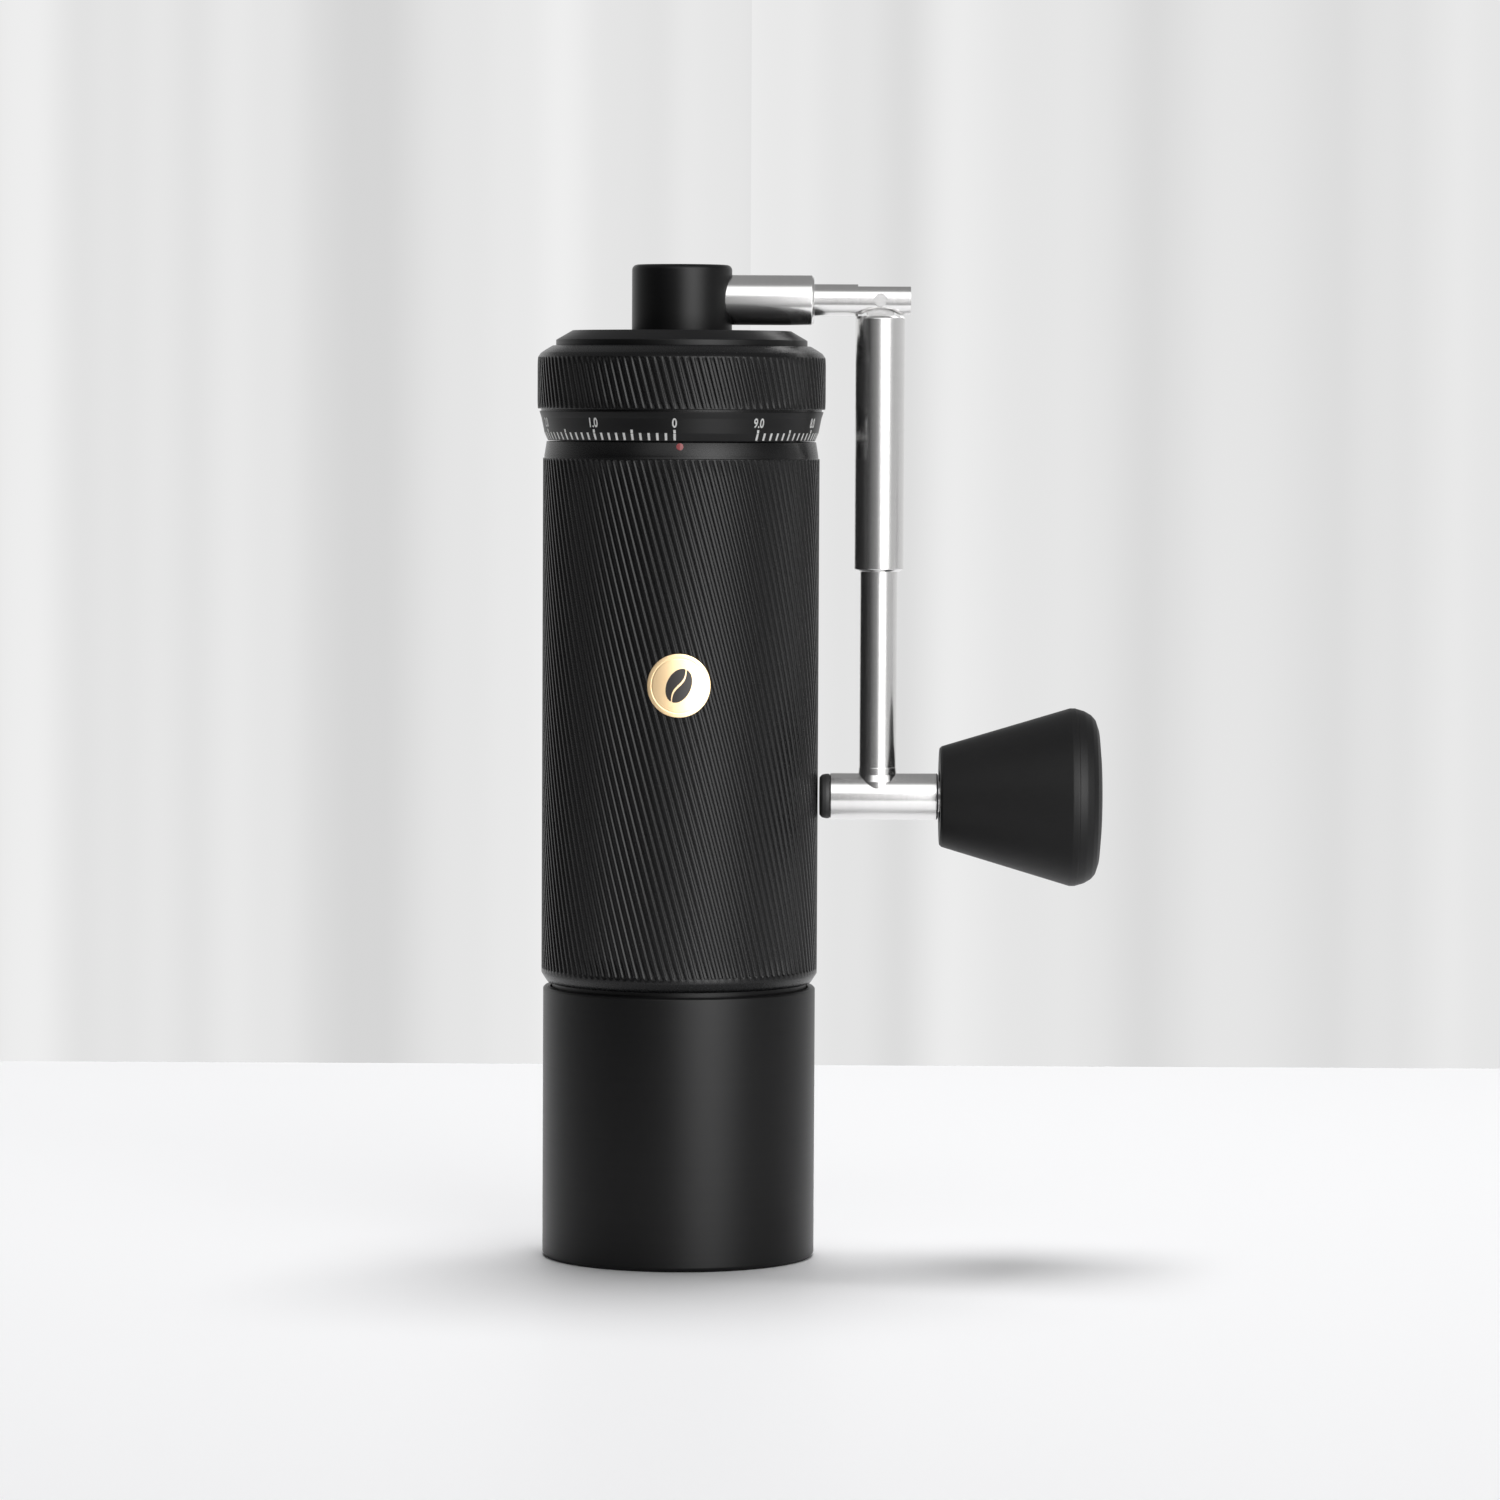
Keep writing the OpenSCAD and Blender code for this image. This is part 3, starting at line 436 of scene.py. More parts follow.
ALONG_X = (0, pi / 2, 0)
BLACK, BLACK_WORN = (0.003, 0.003, 0.0033), (0.007, 0.007, 0.0073)
STEEL, STEEL_WORN = (0.86, 0.855, 0.85), (0.74, 0.735, 0.73)
anodised = turned_metal("black_anodised", BLACK, BLACK_WORN, 0.0, 0.36, 0.06, 7.0, 0.25, specular=0.2)
steel_upright = polished_steel("steel_arm", (ARM_X, 0, 0))
steel_top = polished_steel("steel_socket", (0, 0, ARM_Z), ALONG_X)
steel_tee = polished_steel("steel_tee", (0, 0, KNOB_Z), ALONG_X)
steel_axis = turned_metal("steel_shaft", STEEL, STEEL_WORN, 1.0, 0.24, 0.06, 4.0, 0.2)
print("turned finishes ready")


# %% Ground burr steel, spring wire, rubber, plastics and paint
def blasted_finish(name, sound, worn, metallic, roughness, spread, grain_per_mm, bump, patch=10.0,
                   axis_at=(0, 0, 0), specular=0.5):
    """A part with an even blasted or moulded grain and slow mottling."""
    material, tree, shader, point = new_finish(name, metallic, axis_at, specular=specular)
    grain = use_group(tree, BLASTED_GRAIN, {"Grain per mm": grain_per_mm, "Patch size mm": patch})
    finish = use_group(tree, WORN_FINISH, {"Sound": (*sound, 1), "Worn": (*worn, 1),
                                           "Roughness": roughness, "Spread": spread})
    relief = add_node(tree, "ShaderNodeBump", values={"Strength": bump, "Distance": 0.00003})
    wire(tree, (point, grain.inputs["Point"]),
         (grain.outputs["Mottle"], finish.inputs["Mask"]),
         (grain.outputs["Grain"], finish.inputs["Mottle"]),
         (finish.outputs["Color"], shader.inputs["Base Color"]),
         (finish.outputs["Roughness"], shader.inputs["Roughness"]),
         (grain.outputs["Grain"], relief.inputs["Height"]),
         (relief.outputs["Normal"], shader.inputs["Normal"]))
    return material


knob_plastic = blasted_finish("knob_plastic", (0.005, 0.005, 0.0053), (0.009, 0.009, 0.0093),
                              0, 0.5, 0.08, 5, 0.5, specular=0.2)
burr_steel = blasted_finish("burr_steel", (0.42, 0.42, 0.43), (0.30, 0.30, 0.31), 1, 0.3, 0.1, 6, 0.3)
spring_wire = blasted_finish("spring_wire", (0.5, 0.5, 0.5), (0.38, 0.37, 0.36), 1, 0.28, 0.08, 8, 0.2)
rubber_black = blasted_finish("rubber_black", (0.010, 0.010, 0.010), (0.018, 0.018, 0.018),
                              0, 0.6, 0.1, 7, 0.4)
bush_plastic = blasted_finish("bush_plastic", (0.17, 0.17, 0.18), (0.21, 0.21, 0.22), 0, 0.5, 0.08, 6, 0.3)
brass = turned_metal("brass_part", (0.80, 0.60, 0.30), (0.70, 0.50, 0.22), 1.0, 0.28, 0.08, 5.0, 0.2)
badge_brass = blasted_finish("badge_brass", (0.96, 0.73, 0.44), (0.90, 0.65, 0.37),
                             1, 0.38, 0.08, 10, 0.25, 4.0)
red_paint = blasted_finish("red_paint", (0.45, 0.008, 0.018), (0.34, 0.007, 0.013), 0, 0.35, 0.06, 8, 0.2)
white_paint = blasted_finish("white_paint", (0.80, 0.80, 0.79), (0.68, 0.68, 0.67), 0, 0.55, 0.08, 9, 0.2)
enamel = blasted_finish("badge_enamel", (0.020, 0.016, 0.014), (0.032, 0.026, 0.022), 0, 0.35, 0.08, 8, 0.2)
print("materials:", len(bpy.data.materials))

# %% [markdown]
# ## Knurled finish
# Each ridge of the knurl catches the light on one flank, and its crest is rubbed a little lighter by
# hands. The ridge height is stored on the mesh as an attribute when the knurl is cut, and this
# material reads it, so the rub follows the real crests and fades out in patches.


# %% Knurl material
def build_knurl_finish():
    """Black anodising whose ridge crests are rubbed lighter in patches."""
    material, tree, shader, point = new_finish("knurl_anodised", 0.0, specular=0.28)
    ridge = add_node(tree, "ShaderNodeAttribute", attribute_name="ridge")
    grain = use_group(tree, BLASTED_GRAIN, {"Grain per mm": 5.0, "Patch size mm": 14.0})
    crest = add_node(tree, "ShaderNodeMapRange", values={"From Min": 0.6, "From Max": 1.0, "To Max": 0.9})
    patchy = add_node(tree, "ShaderNodeMath", "MULTIPLY")
    finish = use_group(tree, WORN_FINISH, {"Sound": (0.0025, 0.0025, 0.0028, 1),
                                           "Worn": (0.012, 0.012, 0.0125, 1),
                                           "Roughness": 0.28, "Spread": 0.07})
    relief = add_node(tree, "ShaderNodeBump", values={"Strength": 0.3, "Distance": 0.00003})
    wire(tree, (point, grain.inputs["Point"]), (ridge.outputs["Fac"], crest.inputs["Value"]),
         (crest.outputs[0], patchy.inputs[0]), (grain.outputs["Mottle"], patchy.inputs[1]),
         (patchy.outputs[0], finish.inputs["Mask"]), (grain.outputs["Grain"], finish.inputs["Mottle"]),
         (finish.outputs["Color"], shader.inputs["Base Color"]),
         (finish.outputs["Roughness"], shader.inputs["Roughness"]),
         (grain.outputs["Grain"], relief.inputs["Height"]),
         (relief.outputs["Normal"], shader.inputs["Normal"]))
    return material


knurl_finish = build_knurl_finish()

# %% [markdown]
# ## Turned shapes
# Nearly every part here comes off a lathe, so one helper makes them: it takes the outline as corner
# points with a fillet radius each, rounds the corners, and spins the outline round an axis. Real
# edges are broken with a small chamfer or fillet, and that is where they catch the light.


# %% Outline and spin helpers
def rounded_outline(corners, closed, steps=5):
    """Replaces each (r, z, fillet) corner by an arc, and returns plain (r, z) points in metres."""
    count = len(corners)
    points = []
    for i, (r, z, fillet) in enumerate(corners):
        here = Vector((r, z))
        if fillet <= 0 or (not closed and i in (0, count - 1)):
            points.append(here)
            continue
        before = Vector(corners[i - 1][:2]) - here
        after = Vector(corners[(i + 1) % count][:2]) - here
        half = before.angle(after) / 2
        reach = min(fillet / tan(half), before.length * 0.48, after.length * 0.48)
        start, end = here + before.normalized() * reach, here + after.normalized() * reach
        centre = here + (before.normalized() + after.normalized()).normalized() * (reach / cos(half))
        for s in range(steps + 1):
            ray = (start - centre).lerp(end - centre, s / steps).normalized() * (start - centre).length
            points.append(centre + ray)
    return [(max(p.x, 0.0), p.y) for p in points]


def spin_mesh(name, outline, closed, around_steps=192, axis="z", axis_at=(0, 0, 0)):
    """A turned solid: outline points are (radius, place along the axis), in metres."""
    verts, rings = [], []
    for r, along in outline:
        if r < 1e-6:
            rings.append([len(verts)])
            verts.append((0, 0, along))
            continue
        rings.append(list(range(len(verts), len(verts) + around_steps)))
        verts += [(r * cos(2 * pi * i / around_steps), r * sin(2 * pi * i / around_steps), along)
                  for i in range(around_steps)]
    faces = []
    pairs = list(zip(rings, rings[1:])) + ([(rings[-1], rings[0])] if closed else [])
    for low, high in pairs:
        for i in range(around_steps):
            k = (i + 1) % around_steps
            if len(low) == 1 and len(high) > 1:
                faces.append((low[0], high[k], high[i]))
            elif len(high) == 1 and len(low) > 1:
                faces.append((low[i], low[k], high[0]))
            elif len(low) > 1:
                faces.append((low[i], low[k], high[k], high[i]))
    mesh = bpy.data.meshes.new(name)
    mesh.from_pydata(verts, [], faces)
    if axis == "x":
        mesh.transform(Matrix(((0, 0, 1, 0), (0, 1, 0, 0), (-1, 0, 0, 0), (0, 0, 0, 1))))
    mesh.transform(Matrix.Translation(axis_at))
    return smooth_and_close(mesh)


def smooth_and_close(mesh, sharp_angle=40):
    """Welds the mesh, points its faces outwards and shades it smooth between its sharp edges."""
    work = bmesh.new()
    work.from_mesh(mesh)
    bmesh.ops.remove_doubles(work, verts=work.verts, dist=1e-7)
    bmesh.ops.recalc_face_normals(work, faces=work.faces)
    work.to_mesh(mesh)
    work.free()
    mesh.shade_smooth()
    mesh.set_sharp_from_angle(angle=radians(sharp_angle))
    return mesh


def add_piece(name, mesh, body, material, stands_for=()):
    """Links a finished mesh as a piece that rides on a body and stands for CAD nodes."""
    mesh.materials.clear()
    mesh.materials.append(material)
    piece = bpy.data.objects.new(name, mesh)
    scene.collection.objects.link(piece)
    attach(piece, body)
    if stands_for:
        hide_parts(*stands_for)
    print(f"{name}: {len(mesh.polygons)} faces")
    return piece


def turned_piece(name, corners, body, material, stands_for=(), slot=None, closed=True, axis="z",
                 axis_at=(0, 0, 0), around_steps=192):
    """A turned piece from (r, along, fillet) corners given in millimetres."""
    outline = rounded_outline([(r * MM, a * MM, f * MM) for r, a, f in corners], closed)
    mesh = spin_mesh(name, outline, closed, around_steps, axis, axis_at)
    return add_piece(name, mesh, body, material, stands_for)


# %% [markdown]
# ## Grounds cup
# A plain turned cup with a soft edge at its foot and at its rim, and a step inside where the steel
# ring sits.

# %% Turn the cup
R, CR, Z = BODY_R / MM, span("cup", "y")[1] / MM, CUP_Z1 / MM
turned_piece("grounds_cup", [
    (0, 0, 0), (CR - 0.5, 0, 0.3), (CR, 0.7, 0.6), (CR, Z - 0.35, 0.25), (CR - 0.35, Z, 0.2),
    (R - 1.7, Z, 0.15), (R - 1.7, Z - 7, 0.1), (R - 3, Z - 7, 0.3), (R - 3, 4.5, 2.2),
    (R - 5, 2.5, 1.5), (0, 2.5, 0)], "cup", anodised, ["cup"], "black_anodised", closed=False)


# %% [markdown]
# ## Helical knurl
# Geometry Nodes cuts the knurl: it works out where each point lies round the axis, adds the twist
# that comes with height, and pushes the valleys in. The crests stay on the CAD radius. The mesh
# columns are laid along the same helix, so every ridge gets the same clean section.


# %% Helpers for Geometry Nodes trees
def new_geometry_tree(name, inputs):
    """An empty tree that takes and gives a geometry, with named inputs, and its two end nodes."""
    tree = bpy.data.node_groups.new(name, "GeometryNodeTree")
    tree.interface.new_socket("Geometry", in_out="INPUT", socket_type="NodeSocketGeometry")
    for label, kind in inputs:
        tree.interface.new_socket(label, in_out="INPUT", socket_type=kind)
    tree.interface.new_socket("Material", in_out="INPUT", socket_type="NodeSocketMaterial")
    tree.interface.new_socket("Geometry", in_out="OUTPUT", socket_type="NodeSocketGeometry")
    return tree, tree.nodes.new("NodeGroupInput"), tree.nodes.new("NodeGroupOutput")


def fill_sockets(tree, node, values):
    """Sets or links a node's inputs in order, and returns its first output."""
    for socket, value in zip(node.inputs, values):
        if isinstance(value, (int, float)):
            socket.default_value = value
        elif value is not None:
            tree.links.new(value, socket)
    return node.outputs[0]


# %% Node tree that cuts the ridges
def build_knurl_tree():
    """Geometry Nodes: turns a plain turned wall into a helically ridged one between two heights."""
    labels = ("Ridges", "Twist per metre", "Depth", "Low", "High", "Fade", "Outer radius")
    tree, first, last = new_geometry_tree("helical_knurl", [(label, FLOAT) for label in labels])
    wall_skin = 0.0004

    def maths(operation, a, b=None):
        return fill_sockets(tree, add_node(tree, "ShaderNodeMath", operation), (a, b))

    given = first.outputs
    position = tree.nodes.new("GeometryNodeInputPosition").outputs[0]
    split = add_node(tree, "ShaderNodeSeparateXYZ")
    flat = add_node(tree, "ShaderNodeVectorMath", "MULTIPLY", {1: (1, 1, 0)})
    radius = add_node(tree, "ShaderNodeVectorMath", "LENGTH")
    outward = add_node(tree, "ShaderNodeVectorMath", "NORMALIZE")
    wire(tree, (position, split.inputs[0]), (position, flat.inputs[0]),
         (flat.outputs[0], radius.inputs[0]), (flat.outputs[0], outward.inputs[0]))
    angle = maths("ARCTAN2", split.outputs["Y"], split.outputs["X"])
    turned = maths("ADD", angle, maths("MULTIPLY", split.outputs["Z"], given["Twist per metre"]))
    flank = add_node(tree, "ShaderNodeMapRange", values={"From Min": -0.55, "From Max": 0.55},
                     interpolation_type="SMOOTHSTEP")
    wire(tree, (maths("COSINE", maths("MULTIPLY", turned, given["Ridges"])), flank.inputs["Value"]))
    height = flank.outputs[0]
    rises = maths("DIVIDE", maths("SUBTRACT", split.outputs["Z"], given["Low"]), given["Fade"])
    falls = maths("DIVIDE", maths("SUBTRACT", given["High"], split.outputs["Z"]), given["Fade"])
    inside = maths("MINIMUM", maths("MINIMUM", rises, falls), 1.0)
    skin_radius = maths("SUBTRACT", given["Outer radius"], wall_skin)
    outer = maths("GREATER_THAN", radius.outputs["Value"], skin_radius)
    mask = maths("MULTIPLY", maths("MAXIMUM", inside, 0.0), outer)
    cut = maths("MULTIPLY", maths("MULTIPLY", maths("SUBTRACT", 1.0, height), mask), given["Depth"])
    inward = add_node(tree, "ShaderNodeVectorMath", "SCALE")
    move = tree.nodes.new("GeometryNodeSetPosition")
    store = add_node(tree, "GeometryNodeStoreNamedAttribute", data_type="FLOAT", domain="POINT",
                     values={"Name": "ridge"})
    realize = tree.nodes.new("GeometryNodeRealizeInstances")
    paint = tree.nodes.new("GeometryNodeSetMaterial")
    value_in = [socket for socket in store.inputs if socket.name == "Value" and socket.enabled][0]
    wire(tree, (outward.outputs[0], inward.inputs[0]),
         (maths("MULTIPLY", cut, -1.0), inward.inputs["Scale"]),
         (given["Geometry"], store.inputs["Geometry"]), (maths("MULTIPLY", height, mask), value_in),
         (store.outputs[0], move.inputs["Geometry"]), (inward.outputs[0], move.inputs["Offset"]),
         (move.outputs[0], realize.inputs[0]), (realize.outputs[0], paint.inputs["Geometry"]),
         (given["Material"], paint.inputs["Material"]), (paint.outputs[0], last.inputs["Geometry"]))
    return tree


def run_tree(name, mesh, tree, values):
    """Runs a node tree on a mesh as a modifier with named inputs, and returns the plain mesh."""
    holder = bpy.data.objects.new(name + "_work", mesh)
    scene.collection.objects.link(holder)
    modifier = holder.modifiers.new("nodes", "NODES")
    modifier.node_group = tree
    for item in tree.interface.items_tree:
        if item.in_out == "INPUT" and item.name in values:
            modifier[item.identifier] = values[item.name]
    ready = holder.evaluated_get(bpy.context.evaluated_depsgraph_get())
    result = bpy.data.meshes.new_from_object(ready)
    bpy.data.objects.remove(holder)
    result.name = name
    return result


KNURL_TREE = build_knurl_tree()
RIDGES = 116
KNURL_DEPTH = 0.28 * MM
# Mesh columns in one ridge, as phases of its section: four at the edges of the crest, four at the foot
PHASES = (-130, -110, -70, -50, 50, 70, 110, 130)
COLUMN_ANGLES = [(2 * pi * ridge + radians(phase)) / RIDGES for ridge in range(RIDGES) for phase in PHASES]


# %% Walls laid along the helix
def helical_wall(name, outline, twist, angles):
    """A closed turned wall whose mesh columns follow a helix, ready to be knurled."""
    verts, faces, columns = [], [], len(angles)
    for r, z in outline:
        verts += [(r * cos(angle - twist * z), r * sin(angle - twist * z), z) for angle in angles]
    rows = len(outline)
    for row in range(rows):
        above = (row + 1) % rows
        for i in range(columns):
            k = (i + 1) % columns
            faces.append((row * columns + i, row * columns + k, above * columns + k, above * columns + i))
    mesh = bpy.data.meshes.new(name)
    mesh.from_pydata(verts, [], faces)
    return smooth_and_close(mesh, 60)


def steps_between(z0, z1, step):
    """Evenly spaced heights from z0 to z1, about a step apart, without the two ends."""
    count = max(1, round(abs(z1 - z0) / step))
    return [z0 + (z1 - z0) * i / count for i in range(1, count)]


def knurled_wall(name, outline, lean, radius, low, high):
    """Knurls a wall's outside between two heights, from an outline and heights in millimetres."""
    twist = tan(lean) / radius
    wall = helical_wall(name, [(r * MM, z * MM) for r, z in outline], twist, COLUMN_ANGLES)
    return run_tree(name, wall, KNURL_TREE, {
        "Ridges": float(RIDGES), "Twist per metre": twist, "Depth": KNURL_DEPTH, "Low": low * MM,
        "High": high * MM, "Fade": 0.4 * MM, "Outer radius": radius, "Material": knurl_finish})


# %% Knurl the body
R, Z0, Z1 = BODY_R / MM, BODY_Z0 / MM, BODY_Z1 / MM
low, high = Z0 + 2.5, Z1 - 3.2
bore, seat = R - 3.1, R - 2.5
shelf, ledge = span("neck", "z")[0] / MM, span("lower_spider", "z")[0] / MM + 4
outline = [(seat, Z0), (R - 1.15, Z0), (R - 1.05, Z0 + 0.1), (R - 0.1, Z0 + 1.55), (R, Z0 + 1.8), (R, low),
           (R, low + 0.2), (R, low + 0.4)]
outline += [(R, z) for z in steps_between(low + 0.4, high - 0.4, 3.2)]
outline += [(R, high - 0.4), (R, high - 0.2), (R, high), (R - 0.05, high + 0.05), (R - 0.2, high + 0.08),
            (R - 0.25, high + 0.15), (R - 0.25, high + 0.6), (R - 0.3, high + 0.8), (R - 0.65, Z1 - 0.15),
            (R - 0.75, Z1), (seat, Z1)]
outline += [(seat, z) for z in steps_between(Z1, shelf, 4.2)] + [(seat, shelf), (bore, shelf)]
outline += [(bore, z) for z in steps_between(shelf, ledge, 4.2)] + [(bore, ledge), (seat, ledge)]
outline += [(seat, z) for z in steps_between(ledge, Z0, 4.2)]
body_mesh = knurled_wall("knurled_body", outline, radians(15.4), BODY_R, low, high)
add_piece("knurled_body", body_mesh, "body", knurl_finish, ["body_shell"])

# %% Knurl the dial's grip
D, G0, G1 = DIAL_R / MM, BAND_Z1 / MM, DIAL_Z1 / MM
low, high = G0 + 0.5, G1 - 2.15
bore = BODY_R / MM - 2.55
outline = [(bore, G0), (D - 0.7, G0), (D - 0.7, G0 + 0.38), (D - 0.12, G0 + 0.4), (D - 0.06, G0 + 0.46),
           (D - 0.05, low), (D - 0.04, low + 0.25)]
outline += [(D, z) for z in steps_between(low + 0.25, high - 0.35, 1.1)]
outline += [(D - 0.05, high - 0.35), (D - 0.1, high), (D - 0.15, high + 0.08), (D - 0.62, G1 - 1.4),
            (D - 0.75, G1 - 1.3), (D - 1.65, G1 - 0.7), (D - 1.8, G1 - 0.62), (D - 2.75, G1 - 0.05),
            (D - 2.9, G1), (R - 2.1, G1), (R - 2.1, G1 - 3), (R - 4.35, G1 - 3), (R - 4.35, G1 - 5.7),
            (bore, G1 - 5.7)]
dial_mesh = knurled_wall("knurled_dial", outline, radians(14.8), DIAL_R, low, high)
add_piece("knurled_dial", dial_mesh, "dial", knurl_finish, ["grip_ring"])

# %% [markdown]
# ## Number band, lid and hub
# The band under the grip leans outwards, so that its numbers face a user looking down. The lid is a
# bevelled disc, and the hub grows out of it and carries the crank.

# %% Turn the band, the lid and the hub
B0 = BAND_Z0 / MM
band_profile = [(R - 0.9, B0), (R - 0.25, G0 - 4), (R, G0 - 2.8), (R + 0.3, G0 - 1.3), (D - 0.36, G0)]
band_corners = [(r, z, 0.3 if i else 0.12) for i, (r, z) in enumerate(band_profile[:-1])]
turned_piece("number_band", [
    (R - 4.35, B0, 0.1), *band_corners, (D - 0.36, G0, 0.1), (bore, G0, 0.05), (bore, B0 + 2.7, 0.1),
    (R - 4.35, B0 + 2.7, 0.1)], "dial", anodised, ["scale_band"], "black_anodised", around_steps=256)

L0, L1 = G1 - 0.3, span("lid", "z")[1] / MM
LR, H = span("lid", "y")[1] / MM, HUB_R / MM
plug, P0 = R - 6.6, G1 - 2.3
turned_piece("lid_disc", [
    (7.5, P0, 0.1), (plug, P0, 0.15), (plug, P0 + 0.4, 0.05), (plug - 1, P0 + 0.4, 0.05),
    (plug - 1, P0 + 1.5, 0.05), (plug, P0 + 1.5, 0.05), (plug, L0, 0.05), (LR, L0, 0.12),
    (LR, L1 - 1.8, 0.25), (LR - 3.1, L1, 0.3), (H + 0.4, L1, 0.15), (H + 0.4, L1 - 2.57, 0.1),
    (7.5, L1 - 2.57, 0.1)], "lid", anodised, ["lid"], "black_anodised", around_steps=256)

hub0, hub1 = ends("hub_shell", "z")
turned_piece("hub_block", [
    (6.0, hub0, 0.1), (H, hub0, 0.15), (H, hub1, 1.0), (0, hub1, 0), (0, hub1 - 2.9, 0),
    (6.0, hub1 - 2.9, 0.1)], "handle", anodised, ["hub_shell"], "black_anodised", around_steps=256)

# %% [markdown]
# ## Crank
# All the steel on the crank is turned and polished: a short socket, the sliding sleeve that locks the
# fold, and the cross tube at its end. The fork, the pin and the rod keep their CAD shapes.

# %% Turn the socket, the sleeve, the cross tube and the bumper
x0, x1 = ends("arm_socket", "x")
sr = half_width("arm_socket", "z")
turned_piece("crank_socket", [
    (3.1, x0, 0.1), (sr, x0, 0.1), (sr, x1 - 0.45, 0.25), (sr - 0.45, x1, 0.2), (3.1, x1, 0.15)],
    "handle", steel_top, ["arm_socket"], "stainless", axis="x", axis_at=(0, 0, ARM_Z), around_steps=128)

s0, s1 = ends("lock_sleeve", "z")
turned_piece("lock_sleeve_tube", [
    (3.6, s0, 0.15), (sr - 0.45, s0, 0.2), (sr, s0 + 0.45, 0.25), (sr, s1 - 0.45, 0.25),
    (sr - 0.45, s1, 0.2), (3.6, s1, 0.2)], "lock_sleeve", steel_upright, ["lock_sleeve"], "stainless",
    axis_at=(ARM_X, 0, 0), around_steps=128)

t0, t1 = ends("tee", "x")
tr = half_width("tee", "z")
ON_KNOB_AXIS = {"axis": "x", "axis_at": (0, 0, KNOB_Z)}
turned_piece("cross_tube", [
    (0, t0, 0), (tr - 0.3, t0, 0.15), (tr, t0 + 0.3, 0.15), (tr, t1 - 0.3, 0.15), (tr - 0.3, t1, 0.15),
    (0, t1, 0)], "arm", steel_tee, ["tee"], "stainless", closed=False, around_steps=128, **ON_KNOB_AXIS)

K, ar = KNOB_Z / MM, half_width("arm_rod", "y")
turned_piece("saddle_weld", [
    (ar - 0.4, K + 1.6, 0), (ar + 0.55, K + 1.6, 0.1), (ar + 0.5, K + 2.9, 0.4), (ar + 0.14, K + 4.2, 1.0),
    (ar + 0.03, K + 5.6, 0.2), (ar - 0.4, K + 5.6, 0)], "arm", steel_upright, axis_at=(ARM_X, 0, 0),
    around_steps=128)

b0, b1 = ends("bumper", "x")
turned_piece("bumper_pad", [
    (0, b0, 0), (tr - 0.9, b0, 0.25), (tr - 0.35, b0 + 0.5, 0.5), (tr - 0.2, b0 + 1.2, 0.3),
    (tr - 0.2, b1, 0.1), (0, b1, 0)], "arm", rubber_black, ["bumper"], "rubber", closed=False,
    around_steps=128, **ON_KNOB_AXIS)

# %% [markdown]
# ## Knob
# A cone with a soft fine texture. A narrow land runs round its wide end, and a crowned cap closes it.

# %% Turn the knob and its cap
k0, k1 = ends("knob", "x")
kr = half_width("knob", "z")
k_neck, crown = 9.5, span("knob_cap", "x")[1] / MM
turned_piece("knob_cone", [
    (5.05, k0, 0.1), (k_neck - 0.4, k0, 0.2), (k_neck, k0 + 0.4, 0.3), (kr, k1 - 1.3, 1.0),
    (kr, k1 - 0.3, 0.2), (kr - 0.1, k1, 0.05), (7, k1, 0.1), (7, k1 - 3.2, 0.1), (5.05, k1 - 3.2, 0.1)],
    "knob", knob_plastic, ["knob"], "knob_black", around_steps=256, **ON_KNOB_AXIS)
turned_piece("knob_crown", [
    (0, k1, 0), (kr - 0.1, k1, 0.05), (kr - 0.5, k1 + 1.4, 1.5), (kr - 1.25, k1 + 2.7, 1.2),
    (kr - 2.15, k1 + 3.5, 1.0), (kr - 3.95, k1 + 4.1, 1.5), (kr - 8, crown - 0.2, 3.0), (0, crown, 0)],
    "knob", knob_plastic, ["knob_cap"], "knob_black", closed=False, around_steps=256, **ON_KNOB_AXIS)

# %% [markdown]
# ## Scale on the dial
# Geometry Nodes sets one mark every 3.6 degrees, each fifth one longer. It aims a ray at the band from
# outside for every corner of a mark, so the paint lies on the sloping surface. The whole numbers stand
# over every tenth mark and rise to the left, because turning the dial to the right opens the burrs.


